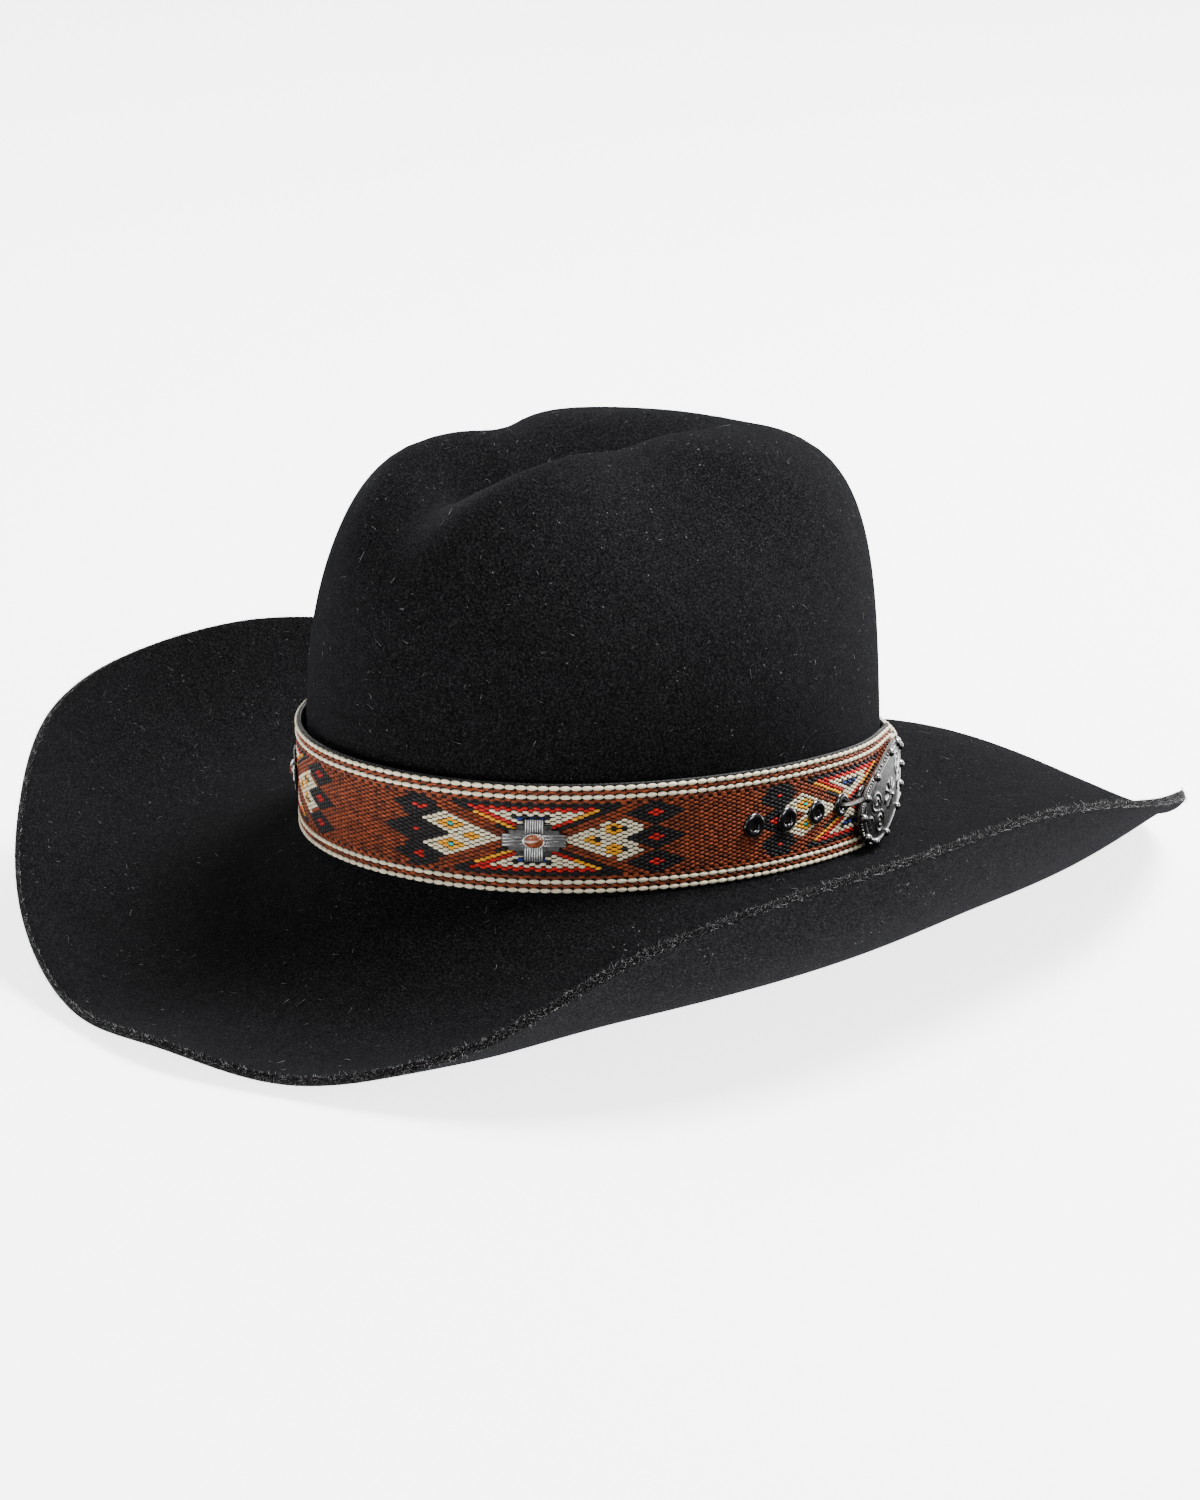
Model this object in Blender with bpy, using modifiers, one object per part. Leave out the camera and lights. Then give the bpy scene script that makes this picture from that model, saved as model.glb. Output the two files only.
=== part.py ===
"""A black felt western hat: creased crown, rolled brim, and a woven strap set with cast crosses.

Metres, +Z up. The wearer faces -Y and the wearer's left is +X. The origin is under the middle
of the brim, level with its lowest points. Run it with: blender --background --python part.py
"""

from math import pi, radians

import bmesh
import bpy
import numpy as np
from mathutils import Matrix, Vector

# ---------------------------------------------------------------- driving sizes
HALF_LENGTH = 0.1045  # crown's outer wall where it meets the brim, front to back
HALF_WIDTH = 0.0880  # the same, side to side
FELT = 0.003  # thickness of the felt
GAP = 0.0003  # between pieces that rest on each other

# Each list below runs from the front centre round one side to the back centre.
BREAK_RISE = [0.0356, 0.0345, 0.0321, 0.0280, 0.0222, 0.0191, 0.0192]  # line where brim meets crown
BRIM_WIDTH = [0.1055, 0.1045, 0.1160, 0.1095, 0.1040, 0.1045, 0.1055]  # along the felt
ROOT_SLOPE = [-39.0, -35.0, -18.7, -10.0, -9.2, -3.3, 3.8]  # brim's slope at the crown, degrees
EDGE_SLOPE = [16.2, 12.7, 29.2, 59.7, 69.7, 70.5, 69.5, 60.5, 43.8, 22.3, -11.6, -25.4, -26.6]
ROLL_FROM = 0.154  # share of the brim's width where it starts to roll
ROLL_TO = 1.03  # and where the roll would be complete

CROWN_HEIGHT = 0.135  # above the break, over the middle of the head
CROWN_FALL = 0.070  # height lost per metre towards the back, from the break's own level
BREAK_FALL = 0.0786  # fall of the break's mean plane towards the back
BREAK_MEAN = 0.0274
SHOULDER_FRONT = 5.9  # superellipse exponents of the wall's rounding into the top
SHOULDER_SIDE = 3.9
SHOULDER_BACK = 7.5
TAPER_FRONT = 0.060  # share of the plan lost from break to top
TAPER_SIDE = 0.020
TAPER_BACK = 0.005
PINCH = 0.26  # narrowing of the top outline at the front
CREASE_DEPTH = 0.026
CREASE_FRONT_WIDTH = 0.0168
CREASE_BACK_WIDTH = 0.0105
CREASE_FROM = -0.077  # the crease runs along Y from here
CREASE_TO = 0.087
LIP_DROP = 0.019  # how far the crease's front end dips
DENT_DEPTH = 0.021  # side dents
DENT_ANGLE = -12.0  # degrees from the side, negative towards the front
DENT_SPREAD = 30.0
DENT_LEVEL = 0.93  # share of the crown's height
DENT_REACH = 0.22
EDGE_LEVEL = 0.965  # level where the wall's rings end and the top's rings begin

BAND_HEIGHT = 0.0360
BAND_CLEAR = 0.0008  # strap's lower edge above the brim
BAND_FIT = 0.0006  # strap's inner face to the crown
BACKING = 0.0010
WEAVE = 0.0007
WEAVE_MARGIN = 0.0007  # backing seen beyond the weave's edges
STRAP_END_HALF = 0.0086  # half height of the strap's narrowed ends
STRAP_STEP = 0.009
BAND_OUT = BAND_FIT + BACKING + GAP + WEAVE  # weave's outer face to the crown

CONCHO_COUNT = 5  # positions round the band; the buckle takes the last
FIRST_CONCHO = 0.0572  # arc from the front centre towards the wearer's left
CONCHO_ARM = 0.0100
CONCHO_HEIGHT = 0.0070
CONCHO_THICK = 0.0012
STONE_LONG = 0.0027
STONE_SHORT = 0.0019
STONE_HEIGHT = 0.0014
BEZEL = 0.00042
BEZEL_SECTION = [(-1, 0.0), (1, 0.0), (1, 1.6), (-0.2, 2.4)]  # in bezel widths
STONE_SECTION = [(1, 0), (1, 0.45), (0.8, 0.82), (0.4, 1.0)]  # shares of its plan and height
SCREW_CLEAR = 0.0001
SCREW_SHANK = 0.0016
SCREW_HEAD = 0.0036

HOOK_LEAD = 0.0071  # hook's eyelet before the buckle's place in the ring of conchos
EYELET_COUNT = 6
EYELETS_BEFORE_HOOK = 3
EYELET_PITCH = 0.0143
EYELET_BORE = 0.0019
EYELET_BARREL = 0.0026
EYELET_FLANGE = 0.0041
EYELET_RIM = 0.0006
HOLE_CLEAR = 0.0003

BUCKLE_LENGTH = 0.0470
BUCKLE_HEIGHT = 0.0240
BUCKLE_THICK = 0.0012
BUCKLE_TURN = 22.0  # degrees that the plate hangs, hook end low
BUCKLE_FOOT = 0.0165  # plate's middle above the strap's lower edge
BUCKLE_DROP = BAND_HEIGHT / 2 - BUCKLE_FOOT
BUCKLE_REACH = 0.0315  # from the hook to the plate's middle
PLATE_CLEAR = 0.0005  # plate's back above the eyelets
PLATE_RISE = 0.014  # and its rise per metre towards the hinge
RIM_WIRE = 0.0006
BOSS_CLEAR = 0.0006
HOOK_WIRE = 0.0009
HOOK_TIP = 0.0014  # hook's end above the crown
BAIL_WIRE = 0.0008
BAIL_BEND = 0.0016
BAIL_LENGTH = 0.0240
FOLD_BORE = BAIL_WIRE + 0.0003
FOLD_OUTSIDE = FOLD_BORE + 0.0004
BAIL_OUT = FOLD_OUTSIDE + 0.0007  # middle of the bail's bars above the crown
STRAP_LIFT = BAIL_OUT + FOLD_OUTSIDE - BAND_FIT + 0.0005  # outer end rises over the inner end
HINGE_REACH = 0.0690  # from the hook to the hinge
EAR_WIRE = 0.0007
EAR_THICK = 0.0012
EAR_EYE = FOLD_BORE + 0.0008
EAR_MIDDLE = STRAP_END_HALF + GAP + EAR_THICK / 2
ARM_ROUTE = (0.0045, 0.0105)  # arms leave the plate between these, behind its middle
ARM_BEND = (0.0180, 0.0054)  # before the hinge, and out from the crown
ARM_END = (0.0080, 0.0060)
ARM_TIP = ((-0.0030, 0.0022), (-0.0014, 0.0008))  # along and out from the hinge
PRONG_ROOT = 0.0100  # prong's start and bend before the plate's middle
PRONG_BEND = 0.0200
PRONG_LIFT = 0.0003
PRONG_CORNER = ((0.0012, 0.0), (0.0002, 0.0006), (0.0, 0.0018))  # behind the hook, and down
RIM_SHARE = 0.93  # rim wire's oval as a share of the plate's
BOSS_SHARE = (0.20, 0.25)  # boss's half sizes as shares of the plate's length and height
BOSS_SECTION = [(1.0, 0.0), (1.0, 0.0004), (0.75, 0.0012), (0.3, 0.0016)]
BAIL_HALF = EAR_MIDDLE + EAR_THICK / 2 + BAIL_BEND + 0.0004
TAIL_CLEAR = 0.0039  # strap's outer end stops this far before the next concho

SWEATBAND = 0.0012
SWEATBAND_HEIGHT = 0.045
LINER_CLEAR = 0.0006
REED_WIRE = 0.0009
LINING = 0.0008
LINING_TOP = 0.082  # above the break's mean plane at the middle of the head
LINING_LEAN = 0.004

AROUND = 48  # corners of each oval ring
BRIM_STEPS = 20
BRIM_RINGS = [20, 18, 16, 13, 10, 7, 4, 2]  # steps out from the crown that carry a ring
WALL_LEVELS = [0.04, 0.2, 0.4, 0.58, 0.71, 0.81, 0.89, 0.95, 1.0]
TOP_LEVELS = [1.1, 1.2, 1.3, 1.41, 1.52, 1.64, 1.77, 1.9]


# ---------------------------------------------------------------- scene helpers
for old in list(bpy.data.objects):
    bpy.data.objects.remove(old)
HAT = bpy.data.collections.new("western_hat")
CUTTERS = bpy.data.collections.new("cutters")
for group in (HAT, CUTTERS):
    bpy.context.scene.collection.children.link(group)


def finish(name, colour, roughness, metallic=0.0):
    material = bpy.data.materials.new(name)
    material.use_nodes = True
    shader = material.node_tree.nodes["Principled BSDF"]
    shader.inputs["Base Color"].default_value = (*colour, 1.0)
    shader.inputs["Roughness"].default_value = roughness
    shader.inputs["Metallic"].default_value = metallic
    return material


FELT_BLACK = finish("black_felt", (0.012, 0.012, 0.014), 0.95)
LEATHER = finish("black_leather", (0.015, 0.013, 0.012), 0.5)
TAN = finish("sweatband_leather", (0.25, 0.14, 0.07), 0.55)
SATIN = finish("lining_satin", (0.10, 0.03, 0.03), 0.35)
YARN = finish("woven_yarn", (0.30, 0.09, 0.03), 0.9)
SILVER = finish("aged_silver", (0.60, 0.58, 0.54), 0.35, 1.0)
STONE = finish("brown_stone", (0.16, 0.05, 0.02), 0.12)
ENAMEL = finish("black_enamel", (0.01, 0.01, 0.01), 0.15, 0.6)


def add_object(name, data, material, place=HAT):
    obj = bpy.data.objects.new(name, data)
    place.objects.link(obj)
    if material is not None:
        data.materials.append(material)
    return obj


def add_mesh(name, points, faces, material, place=HAT):
    mesh = bpy.data.meshes.new(name)
    mesh.from_pydata([tuple(map(float, p)) for p in points], [], faces)
    mesh.shade_smooth()
    mesh.set_sharp_from_angle(angle=radians(40))
    return add_object(name, mesh, material, place)


def thicken(obj, thickness, side):
    """Solidify an open surface: side 1 adds it outwards, -1 inwards, 0 half each way."""
    solid = obj.modifiers.new("thickness", "SOLIDIFY")
    solid.thickness = thickness
    solid.offset = side
    solid.use_even_offset = True
    return obj


def cut(obj, cutter, operation="DIFFERENCE"):
    boolean = obj.modifiers.new(cutter.name, "BOOLEAN")
    boolean.operation = operation
    boolean.object = cutter


def loft(rings, around=True, along=False):
    """Quads between rows of points; around closes each row, along joins the last row to the first."""
    rows, count = len(rings), len(rings[0])
    points = [p for ring in rings for p in ring]
    faces = []
    for i in range(rows if along else rows - 1):
        here, there = i * count, (i + 1) % rows * count
        for j in range(count if around else count - 1):
            k = (j + 1) % count
            faces.append((here + j, here + k, there + k, there + j))
    return points, faces


# ---------------------------------------------------------------- the hat's shape
def smooth(x):
    """0 below 0, 1 above 1, and an S curve between."""
    x = np.clip(x, 0.0, 1.0)
    return x * x * (3.0 - 2.0 * x)


def around(values, theta):
    """A smooth closed curve through values listed from the front to the back, both sides alike."""
    full = np.concatenate([values, values[-2:0:-1]])
    place = (theta + pi / 2) % (2 * pi) / (2 * pi) * len(full)
    i = np.floor(place).astype(int)
    f = place - i
    a, b, c, d = (full[(i + k) % len(full)] for k in (-1, 0, 1, 2))
    rise = 2 * b + (c - a) * f + (2 * a - 5 * b + 4 * c - d) * f**2
    return 0.5 * (rise + (3 * b - a - 3 * c + d) * f**3)


def oval(theta, out=0.0):
    """Plan of the crown's wall at the break, moved out along its normal: x, y and the normal."""
    nx, ny = np.cos(theta) / HALF_WIDTH, np.sin(theta) / HALF_LENGTH
    size = np.hypot(nx, ny)
    nx, ny = nx / size, ny / size
    return HALF_WIDTH * np.cos(theta) + out * nx, HALF_LENGTH * np.sin(theta) + out * ny, nx, ny


def brim(theta):
    """The brim's middle surface, from the crown out: x, y, z and slope, one row for each angle.

    The slope turns from ROOT_SLOPE to EDGE_SLOPE along an S curve, and the place is its integral."""
    root = around(ROOT_SLOPE, theta)[:, None]
    edge = around(EDGE_SLOPE, theta)[:, None]
    middle = (np.arange(BRIM_STEPS) + 0.5)[None] / BRIM_STEPS
    turn = smooth((middle - ROLL_FROM) / (ROLL_TO - ROLL_FROM))
    slope = np.radians(root + (edge - root) * turn)
    step = around(BRIM_WIDTH, theta)[:, None] / BRIM_STEPS
    start = np.zeros((len(theta), 1))
    out = np.concatenate([start, np.cumsum(step * np.cos(slope), 1)], 1)
    up = np.concatenate([start, np.cumsum(step * np.sin(slope), 1)], 1)
    x, y, nx, ny = oval(theta)
    slope = np.concatenate([slope[:, :1], slope], 1)
    rise = around(BREAK_RISE, theta)[:, None]
    return x[:, None] + out * nx[:, None], y[:, None] + out * ny[:, None], rise + up, slope


THETA = np.arange(AROUND) / AROUND * 2 * pi
BRIM_X, BRIM_Y, BRIM_Z, BRIM_TILT = brim(THETA)
GROUND = (BRIM_Z - FELT / 2 * np.cos(BRIM_TILT))[:, BRIM_RINGS].min()
MIDDLE = (BRIM_Y[:, BRIM_RINGS].min() + BRIM_Y[:, BRIM_RINGS].max()) / 2


def settle(x, y, z):
    """From the crown's own frame to the hat's, whose origin is under the brim's middle."""
    return np.stack([x, y - MIDDLE, z - GROUND], -1)


def crown(theta, level, inset):
    """The crown at a level: 0 to 1 climbs the wall, 1 to 2 crosses the top to its middle.

    Wall and top follow a superellipse, plan share ** m + height share ** m = 1. The side dents push
    it in along the plan normal, and the crease and its lip lower it."""
    x, y, nx, ny = oval(theta, -inset)
    front = 0.5 * (1 - np.sin(theta))
    side = np.cos(theta) ** 2
    m = (SHOULDER_FRONT * front + SHOULDER_BACK * (1 - front)) * (1 - side) + SHOULDER_SIDE * side
    taper = (TAPER_FRONT * front + TAPER_BACK * (1 - front)) * (1 - side) + TAPER_SIDE * side
    if level <= 1:
        height = np.full_like(theta, level * EDGE_LEVEL)
        share = (1 - height**m) ** (1 / m)
    else:
        share = (1 - EDGE_LEVEL**m) ** (1 / m) * (2 - level)
        height = (1 - share**m) ** (1 / m)
    share = share * (1 - taper * height)
    degrees = np.degrees(np.arctan2(np.sin(theta), np.abs(np.cos(theta))))
    dent = DENT_DEPTH * np.exp(-(((degrees - DENT_ANGLE) / DENT_SPREAD) ** 2))
    dent = dent * np.exp(-(((height - DENT_LEVEL) / DENT_REACH) ** 2)) * smooth(share / 0.35)
    pinch = 1 - PINCH * smooth((height - 0.3) / 0.7) * smooth(-np.sin(theta))
    x = x * share * pinch - dent * nx
    y = y * share - 0.6 * dent * ny
    top = smooth((height - 0.5) / 0.45)
    width = CREASE_FRONT_WIDTH + (CREASE_BACK_WIDTH - CREASE_FRONT_WIDTH) * smooth((y + 0.05) / 0.12)
    run = smooth((y - CREASE_FROM) / 0.04) * smooth((CREASE_TO - y) / 0.12)
    crease = CREASE_DEPTH * run * np.exp(-((x / width) ** 2)) * top
    lip = LIP_DROP * smooth((CREASE_FROM + 0.05 - y) / 0.05) * top
    lip = lip * np.exp(-((x / (1.3 * CREASE_FRONT_WIDTH)) ** 2))
    blend = smooth(height)
    base = around(BREAK_RISE, theta) * (1 - blend) + (BREAK_MEAN - BREAK_FALL * y) * blend
    z = height * (CROWN_HEIGHT - CROWN_FALL * y) - crease - lip
    return x, y, z + base


def wall(theta, height, inset):
    """A ring on the crown's wall, a height above the break and inset from its outer face."""
    rings = []
    for angle, up in zip(theta, np.broadcast_to(height, theta.shape)):
        here = np.array([angle])
        full = CROWN_HEIGHT - CROWN_FALL * oval(here)[1][0]
        rings.append(settle(*crown(here, up / full / EDGE_LEVEL, inset))[0])
    return np.array(rings)


# ---------------------------------------------------------------- felt
def make_felt():
    rings = [settle(BRIM_X[:, k], BRIM_Y[:, k], BRIM_Z[:, k]) for k in BRIM_RINGS]
    x, y, _, _ = oval(THETA, -0.3 * FELT)
    rings.append(settle(x, y, around(BREAK_RISE, THETA) + 0.1 * FELT))
    for level in WALL_LEVELS + TOP_LEVELS:
        rings.append(settle(*crown(THETA, level, FELT / 2)))
    points, faces = loft(rings)
    apex = settle(*crown(np.array([pi / 2]), 2.0, FELT / 2))[0]
    last = (len(rings) - 1) * AROUND
    faces += [(last + j, last + (j + 1) % AROUND, len(points)) for j in range(AROUND)]
    felt = add_mesh("felt_body", points + [apex], faces, FELT_BLACK)
    thicken(felt, FELT, 0)


# ---------------------------------------------------------------- inside the crown
def make_sweatband():
    inset = FELT + LINER_CLEAR
    heights = (0.0014, 0.4 * SWEATBAND_HEIGHT, SWEATBAND_HEIGHT)
    rings = [wall(THETA, height, inset) for height in heights]
    band = add_mesh("sweatband", *loft(rings), TAN)
    thicken(band, SWEATBAND, -1)
    return inset + SWEATBAND


def make_tube(name, points, wire, material, closed):
    curve = bpy.data.curves.new(name, "CURVE")
    curve.dimensions = "3D"
    curve.bevel_depth = wire
    curve.bevel_resolution = 1
    curve.use_fill_caps = not closed
    spline = curve.splines.new("POLY")
    spline.points.add(len(points) - 1)
    spline.points.foreach_set("co", np.c_[points, np.ones(len(points))].ravel())
    spline.use_cyclic_u = closed
    return add_object(name, curve, material)


def make_bow(inset):
    """A flat ribbon bow against the sweatband at the back: two loops and a knot in one outline."""
    half, waist, lobe = 0.0085, 0.0012, 0.0040
    t = np.linspace(0, 2 * pi, 24, endpoint=False)
    x = half * np.cos(t)
    z = np.sin(t) * (waist + (lobe - waist) * np.abs(np.cos(t)) ** 0.7)
    anchor = wall(np.array([pi / 2]), 0.012, inset + 0.0012)[0]
    curve = bpy.data.curves.new("sweatband_bow", "CURVE")
    curve.dimensions = "2D"
    curve.fill_mode = "BOTH"
    curve.extrude = 0.0004
    spline = curve.splines.new("POLY")
    spline.points.add(len(t) - 1)
    spline.points.foreach_set("co", np.c_[x, z, 0 * t, np.ones(len(t))].ravel())
    spline.use_cyclic_u = True
    bow = add_object("sweatband_bow", curve, LEATHER)
    bow.matrix_world = Matrix.Translation(anchor) @ Matrix.Rotation(pi / 2, 4, "X")


def lining_ring(inset, drop):
    """A ring of the lining, level with the lining's top less drop, so that the tip lies flat."""
    rise = around(BREAK_RISE, THETA)
    return wall(THETA, BREAK_MEAN + LINING_TOP - drop - rise, inset)


def level_ring(inset, drop):
    ring = lining_ring(inset, drop)
    ring[:, 2] = BREAK_MEAN + LINING_TOP - drop - GROUND
    return ring


def make_lining():
    inset = FELT + 3 * LINER_CLEAR
    low = wall(THETA, SWEATBAND_HEIGHT + 0.001, inset)
    middle = lining_ring(inset + LINING_LEAN / 2, 0.020)
    high = level_ring(inset + LINING_LEAN, 0.0022)
    side = add_mesh("lining_side", *loft([low, middle, high]), SATIN)
    thicken(side, LINING, -1)
    piping = level_ring(inset + LINING_LEAN + 0.0016, 0.0008)
    make_tube("lining_piping", piping, 0.0008, SATIN, True)
    edge = level_ring(inset + LINING_LEAN + 0.0032, 0.0)
    points = [p for p in edge]
    tip = add_mesh("lining_tip", points, [tuple(range(AROUND))], SATIN)
    thicken(tip, LINING, -1)


# ---------------------------------------------------------------- the band's own frame
TABLE_THETA = np.linspace(-pi / 2, 1.5 * pi, 1441)
TABLE_X, TABLE_Y, _, _ = oval(TABLE_THETA, BAND_OUT)
TABLE_ARC = np.r_[0.0, np.cumsum(np.hypot(np.diff(TABLE_X), np.diff(TABLE_Y)))]
ROUND = TABLE_ARC[-1]

SPACING = ROUND / CONCHO_COUNT
HOOK_ARC = FIRST_CONCHO + SPACING - HOOK_LEAD
BUCKLE_MIDDLE = HOOK_ARC + BUCKLE_REACH
HINGE_ARC = HOOK_ARC + HINGE_REACH
FOLD_ARC = HINGE_ARC + BAIL_LENGTH
STRAP_FROM = FOLD_ARC + FOLD_OUTSIDE + 2 * GAP
STRAP_TO = ROUND + FIRST_CONCHO + 2 * SPACING - CONCHO_ARM - TAIL_CLEAR


def wrap(arc, out, up):
    """A point on the band: arc from the front centre, out from the crown, up from mid height."""
    theta = np.interp(np.mod(arc, ROUND), TABLE_ARC, TABLE_THETA)
    x, y, _, _ = oval(theta, out)
    z = around(BREAK_RISE, theta) + FELT / 2 + BAND_CLEAR + BAND_HEIGHT / 2 + up
    return settle(x, y, z)


def seat(arc, out, lean=True):
    """Matrix of a flat piece on the band: X along it, Y up, Z out. lean follows the band's slope."""
    here = Vector(wrap(arc, out, 0.0))
    ahead = Vector(wrap(arc + 0.001, out, 0.0)) - Vector(wrap(arc - 0.001, out, 0.0))
    if not lean:
        ahead.z = 0.0
    ahead.normalize()
    outward = ahead.cross(Vector((0, 0, 1))).normalized()
    turn = Matrix((ahead, outward.cross(ahead), outward)).transposed()
    return Matrix.Translation(here) @ turn.to_4x4()


def strap_lift(arc):
    """The outer end lies flat as far as its last eyelet, then climbs to clear the fold."""
    start = ROUND + HOOK_ARC + 2 * EYELET_PITCH + 1.5 * EYELET_FLANGE
    return STRAP_LIFT * smooth((arc - start) / (ROUND + HINGE_ARC + 0.0120 - start))


def strap_half(arc, margin):
    """Half height of the strap: narrow at the fold, full round the crown, narrow past the plate."""
    narrowing = 0.013
    full = BAND_HEIGHT / 2 - margin
    ends = smooth((arc - STRAP_FROM - 0.004) / 0.022)
    ends = ends * (1 - smooth((arc - ROUND - HINGE_ARC + 0.0070 + narrowing) / narrowing))
    return STRAP_END_HALF - margin + (full - STRAP_END_HALF + margin) * ends


# ---------------------------------------------------------------- strap
def make_strap(name, inner, thickness, margin, material):
    count = round((STRAP_TO - STRAP_FROM) / STRAP_STEP)
    arcs = np.linspace(STRAP_FROM + margin, STRAP_TO - margin, count)
    out = inner + strap_lift(arcs)
    half = strap_half(arcs, margin)
    rows = [wrap(arcs, out, -half), wrap(arcs, out, 0 * half), wrap(arcs, out, half)]
    strap = add_mesh(name, *loft(rows, around=False), material)
    return thicken(strap, thickness, 1)


def make_pegs(name, arcs, radius, low, high):
    """Round cutters across the strap at each place, low and high above the crown."""
    shape = bmesh.new()
    for arc in arcs:
        middle = seat(arc, (low + high) / 2 + strap_lift(arc), False)
        bmesh.ops.create_cone(
            shape, cap_ends=True, segments=16, radius1=radius, radius2=radius,
            depth=high - low, matrix=middle,
        )
    mesh = bpy.data.meshes.new(name)
    shape.to_mesh(mesh)
    shape.free()
    pegs = add_object(name, mesh, None, CUTTERS)
    pegs.hide_render = True
    pegs.display_type = "WIRE"
    return pegs


def turned(name, profile, material, place, steps=16, ring=True):
    """A turned piece: the profile, from its top down the outside, spun about the seat's Z.

    ring closes the profile on itself; without it both ends lie on the axis."""
    mesh = bpy.data.meshes.new(name)
    count = len(profile)
    edges = [(i, (i + 1) % count) for i in range(count if ring else count - 1)]
    mesh.from_pydata([(r, 0, z) for r, z in profile], edges, [])
    obj = add_object(name, mesh, material)
    spin = obj.modifiers.new("spin", "SCREW")
    spin.steps = spin.render_steps = steps
    spin.use_merge_vertices = True
    spin.merge_threshold = 0.00001
    obj.matrix_world = place
    return obj


def make_eyelet(number, arc):
    profile = [
        (EYELET_BORE, EYELET_RIM),
        (EYELET_FLANGE - 0.0006, EYELET_RIM),
        (EYELET_FLANGE, 0.0),
        (EYELET_BARREL, 0.0),
        (EYELET_BARREL, -GAP - WEAVE - BACKING),
        (EYELET_BORE, -GAP - WEAVE - BACKING),
    ]
    place = seat(arc, BAND_OUT + GAP + strap_lift(arc), False)
    turned(f"eyelet_{number}", profile, ENAMEL, place)


# ---------------------------------------------------------------- conchos
def flat_outline(name, outline, thickness, material, place):
    curve = bpy.data.curves.new(name, "CURVE")
    curve.dimensions = "2D"
    curve.fill_mode = "BOTH"
    curve.extrude = thickness / 2
    spline = curve.splines.new("POLY")
    spline.points.add(len(outline) - 1)
    columns = np.array(outline)
    rows = np.c_[columns, np.zeros(len(outline)), np.ones(len(outline))]
    spline.points.foreach_set("co", rows.ravel())
    spline.use_cyclic_u = True
    obj = add_object(name, curve, material)
    obj.matrix_world = place
    return obj


def cross_outline():
    """Stepped cross: one quarter's corners, then the other three by turning signs."""
    w, h = CONCHO_ARM, CONCHO_HEIGHT
    quarter = [(w, 0.30 * h), (0.80 * w, 0.30 * h), (0.80 * w, 0.50 * h), (0.55 * w, 0.50 * h)]
    quarter += [(0.55 * w, 0.75 * h), (0.30 * w, 0.75 * h), (0.30 * w, h)]
    back = quarter[::-1]
    second = [(-x, y) for x, y in back]
    third = [(-x, -y) for x, y in quarter]
    fourth = [(x, -y) for x, y in back]
    return quarter + second + third + fourth


def ellipse_rings(sizes, place):
    """Rings of a piece with oval sections: (half length, half height, out) for each."""
    t = np.linspace(0, 2 * pi, 16, endpoint=False)
    rings = []
    for a, b, z in sizes:
        flat = np.c_[a * np.cos(t), b * np.sin(t), np.full(16, z)]
        rings.append([place @ Vector(p) for p in flat])
    return rings


def make_concho(number, arc):
    top = BAND_OUT + GAP + CONCHO_THICK
    name = f"concho_{number}"
    flat_outline(
        f"{name}_plate", cross_outline(), CONCHO_THICK, SILVER, seat(arc, top - CONCHO_THICK / 2)
    )
    place = seat(arc, top + GAP)
    long, short = STONE_LONG + GAP + BEZEL, STONE_SHORT + GAP + BEZEL
    sizes = [(long + x * BEZEL, short + x * BEZEL, z * BEZEL) for x, z in BEZEL_SECTION]
    rings = ellipse_rings(sizes, place)
    add_mesh(f"{name}_bezel", *loft(rings, along=True), SILVER)
    sizes = [(STONE_LONG * s, STONE_SHORT * s, STONE_HEIGHT * z) for s, z in STONE_SECTION]
    rings = ellipse_rings(sizes, place)
    points, faces = loft(rings)
    faces += [tuple(range(15, -1, -1)), tuple(range(48, 64))]
    add_mesh(f"{name}_stone", points, faces, STONE)
    head = [
        (0.0, BACKING + GAP + WEAVE - SCREW_CLEAR),
        (SCREW_SHANK, BACKING + GAP + WEAVE - SCREW_CLEAR),
        (SCREW_SHANK, BACKING),
        (SCREW_HEAD, BACKING),
        (SCREW_HEAD, SCREW_CLEAR),
        (0.0, SCREW_CLEAR),
    ]
    turned(f"{name}_screw", head, SILVER, seat(arc, BAND_FIT, False), ring=False)


# ---------------------------------------------------------------- buckle
def plate_out(arc):
    """Height of the plate's back above the crown: clear of the eyelets, rising to the hinge."""
    return BAND_OUT + GAP + EYELET_RIM + PLATE_CLEAR + PLATE_RISE * (arc - HOOK_ARC)


def plate_ring(scale, extra, count=24):
    """An oval with full corners on the plate, turned by BUCKLE_TURN: scale of its size, extra out."""
    t = np.linspace(0, 2 * pi, count, endpoint=False)
    power = 2 / 2.5
    long = np.sign(np.cos(t)) * np.abs(np.cos(t)) ** power * BUCKLE_LENGTH / 2 * scale
    short = np.sign(np.sin(t)) * np.abs(np.sin(t)) ** power * BUCKLE_HEIGHT / 2 * scale
    turn = radians(BUCKLE_TURN)
    arc = BUCKLE_MIDDLE + long * np.cos(turn) - short * np.sin(turn)
    up = long * np.sin(turn) + short * np.cos(turn) - BUCKLE_DROP
    return wrap(arc, plate_out(arc) + extra, up)


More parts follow.
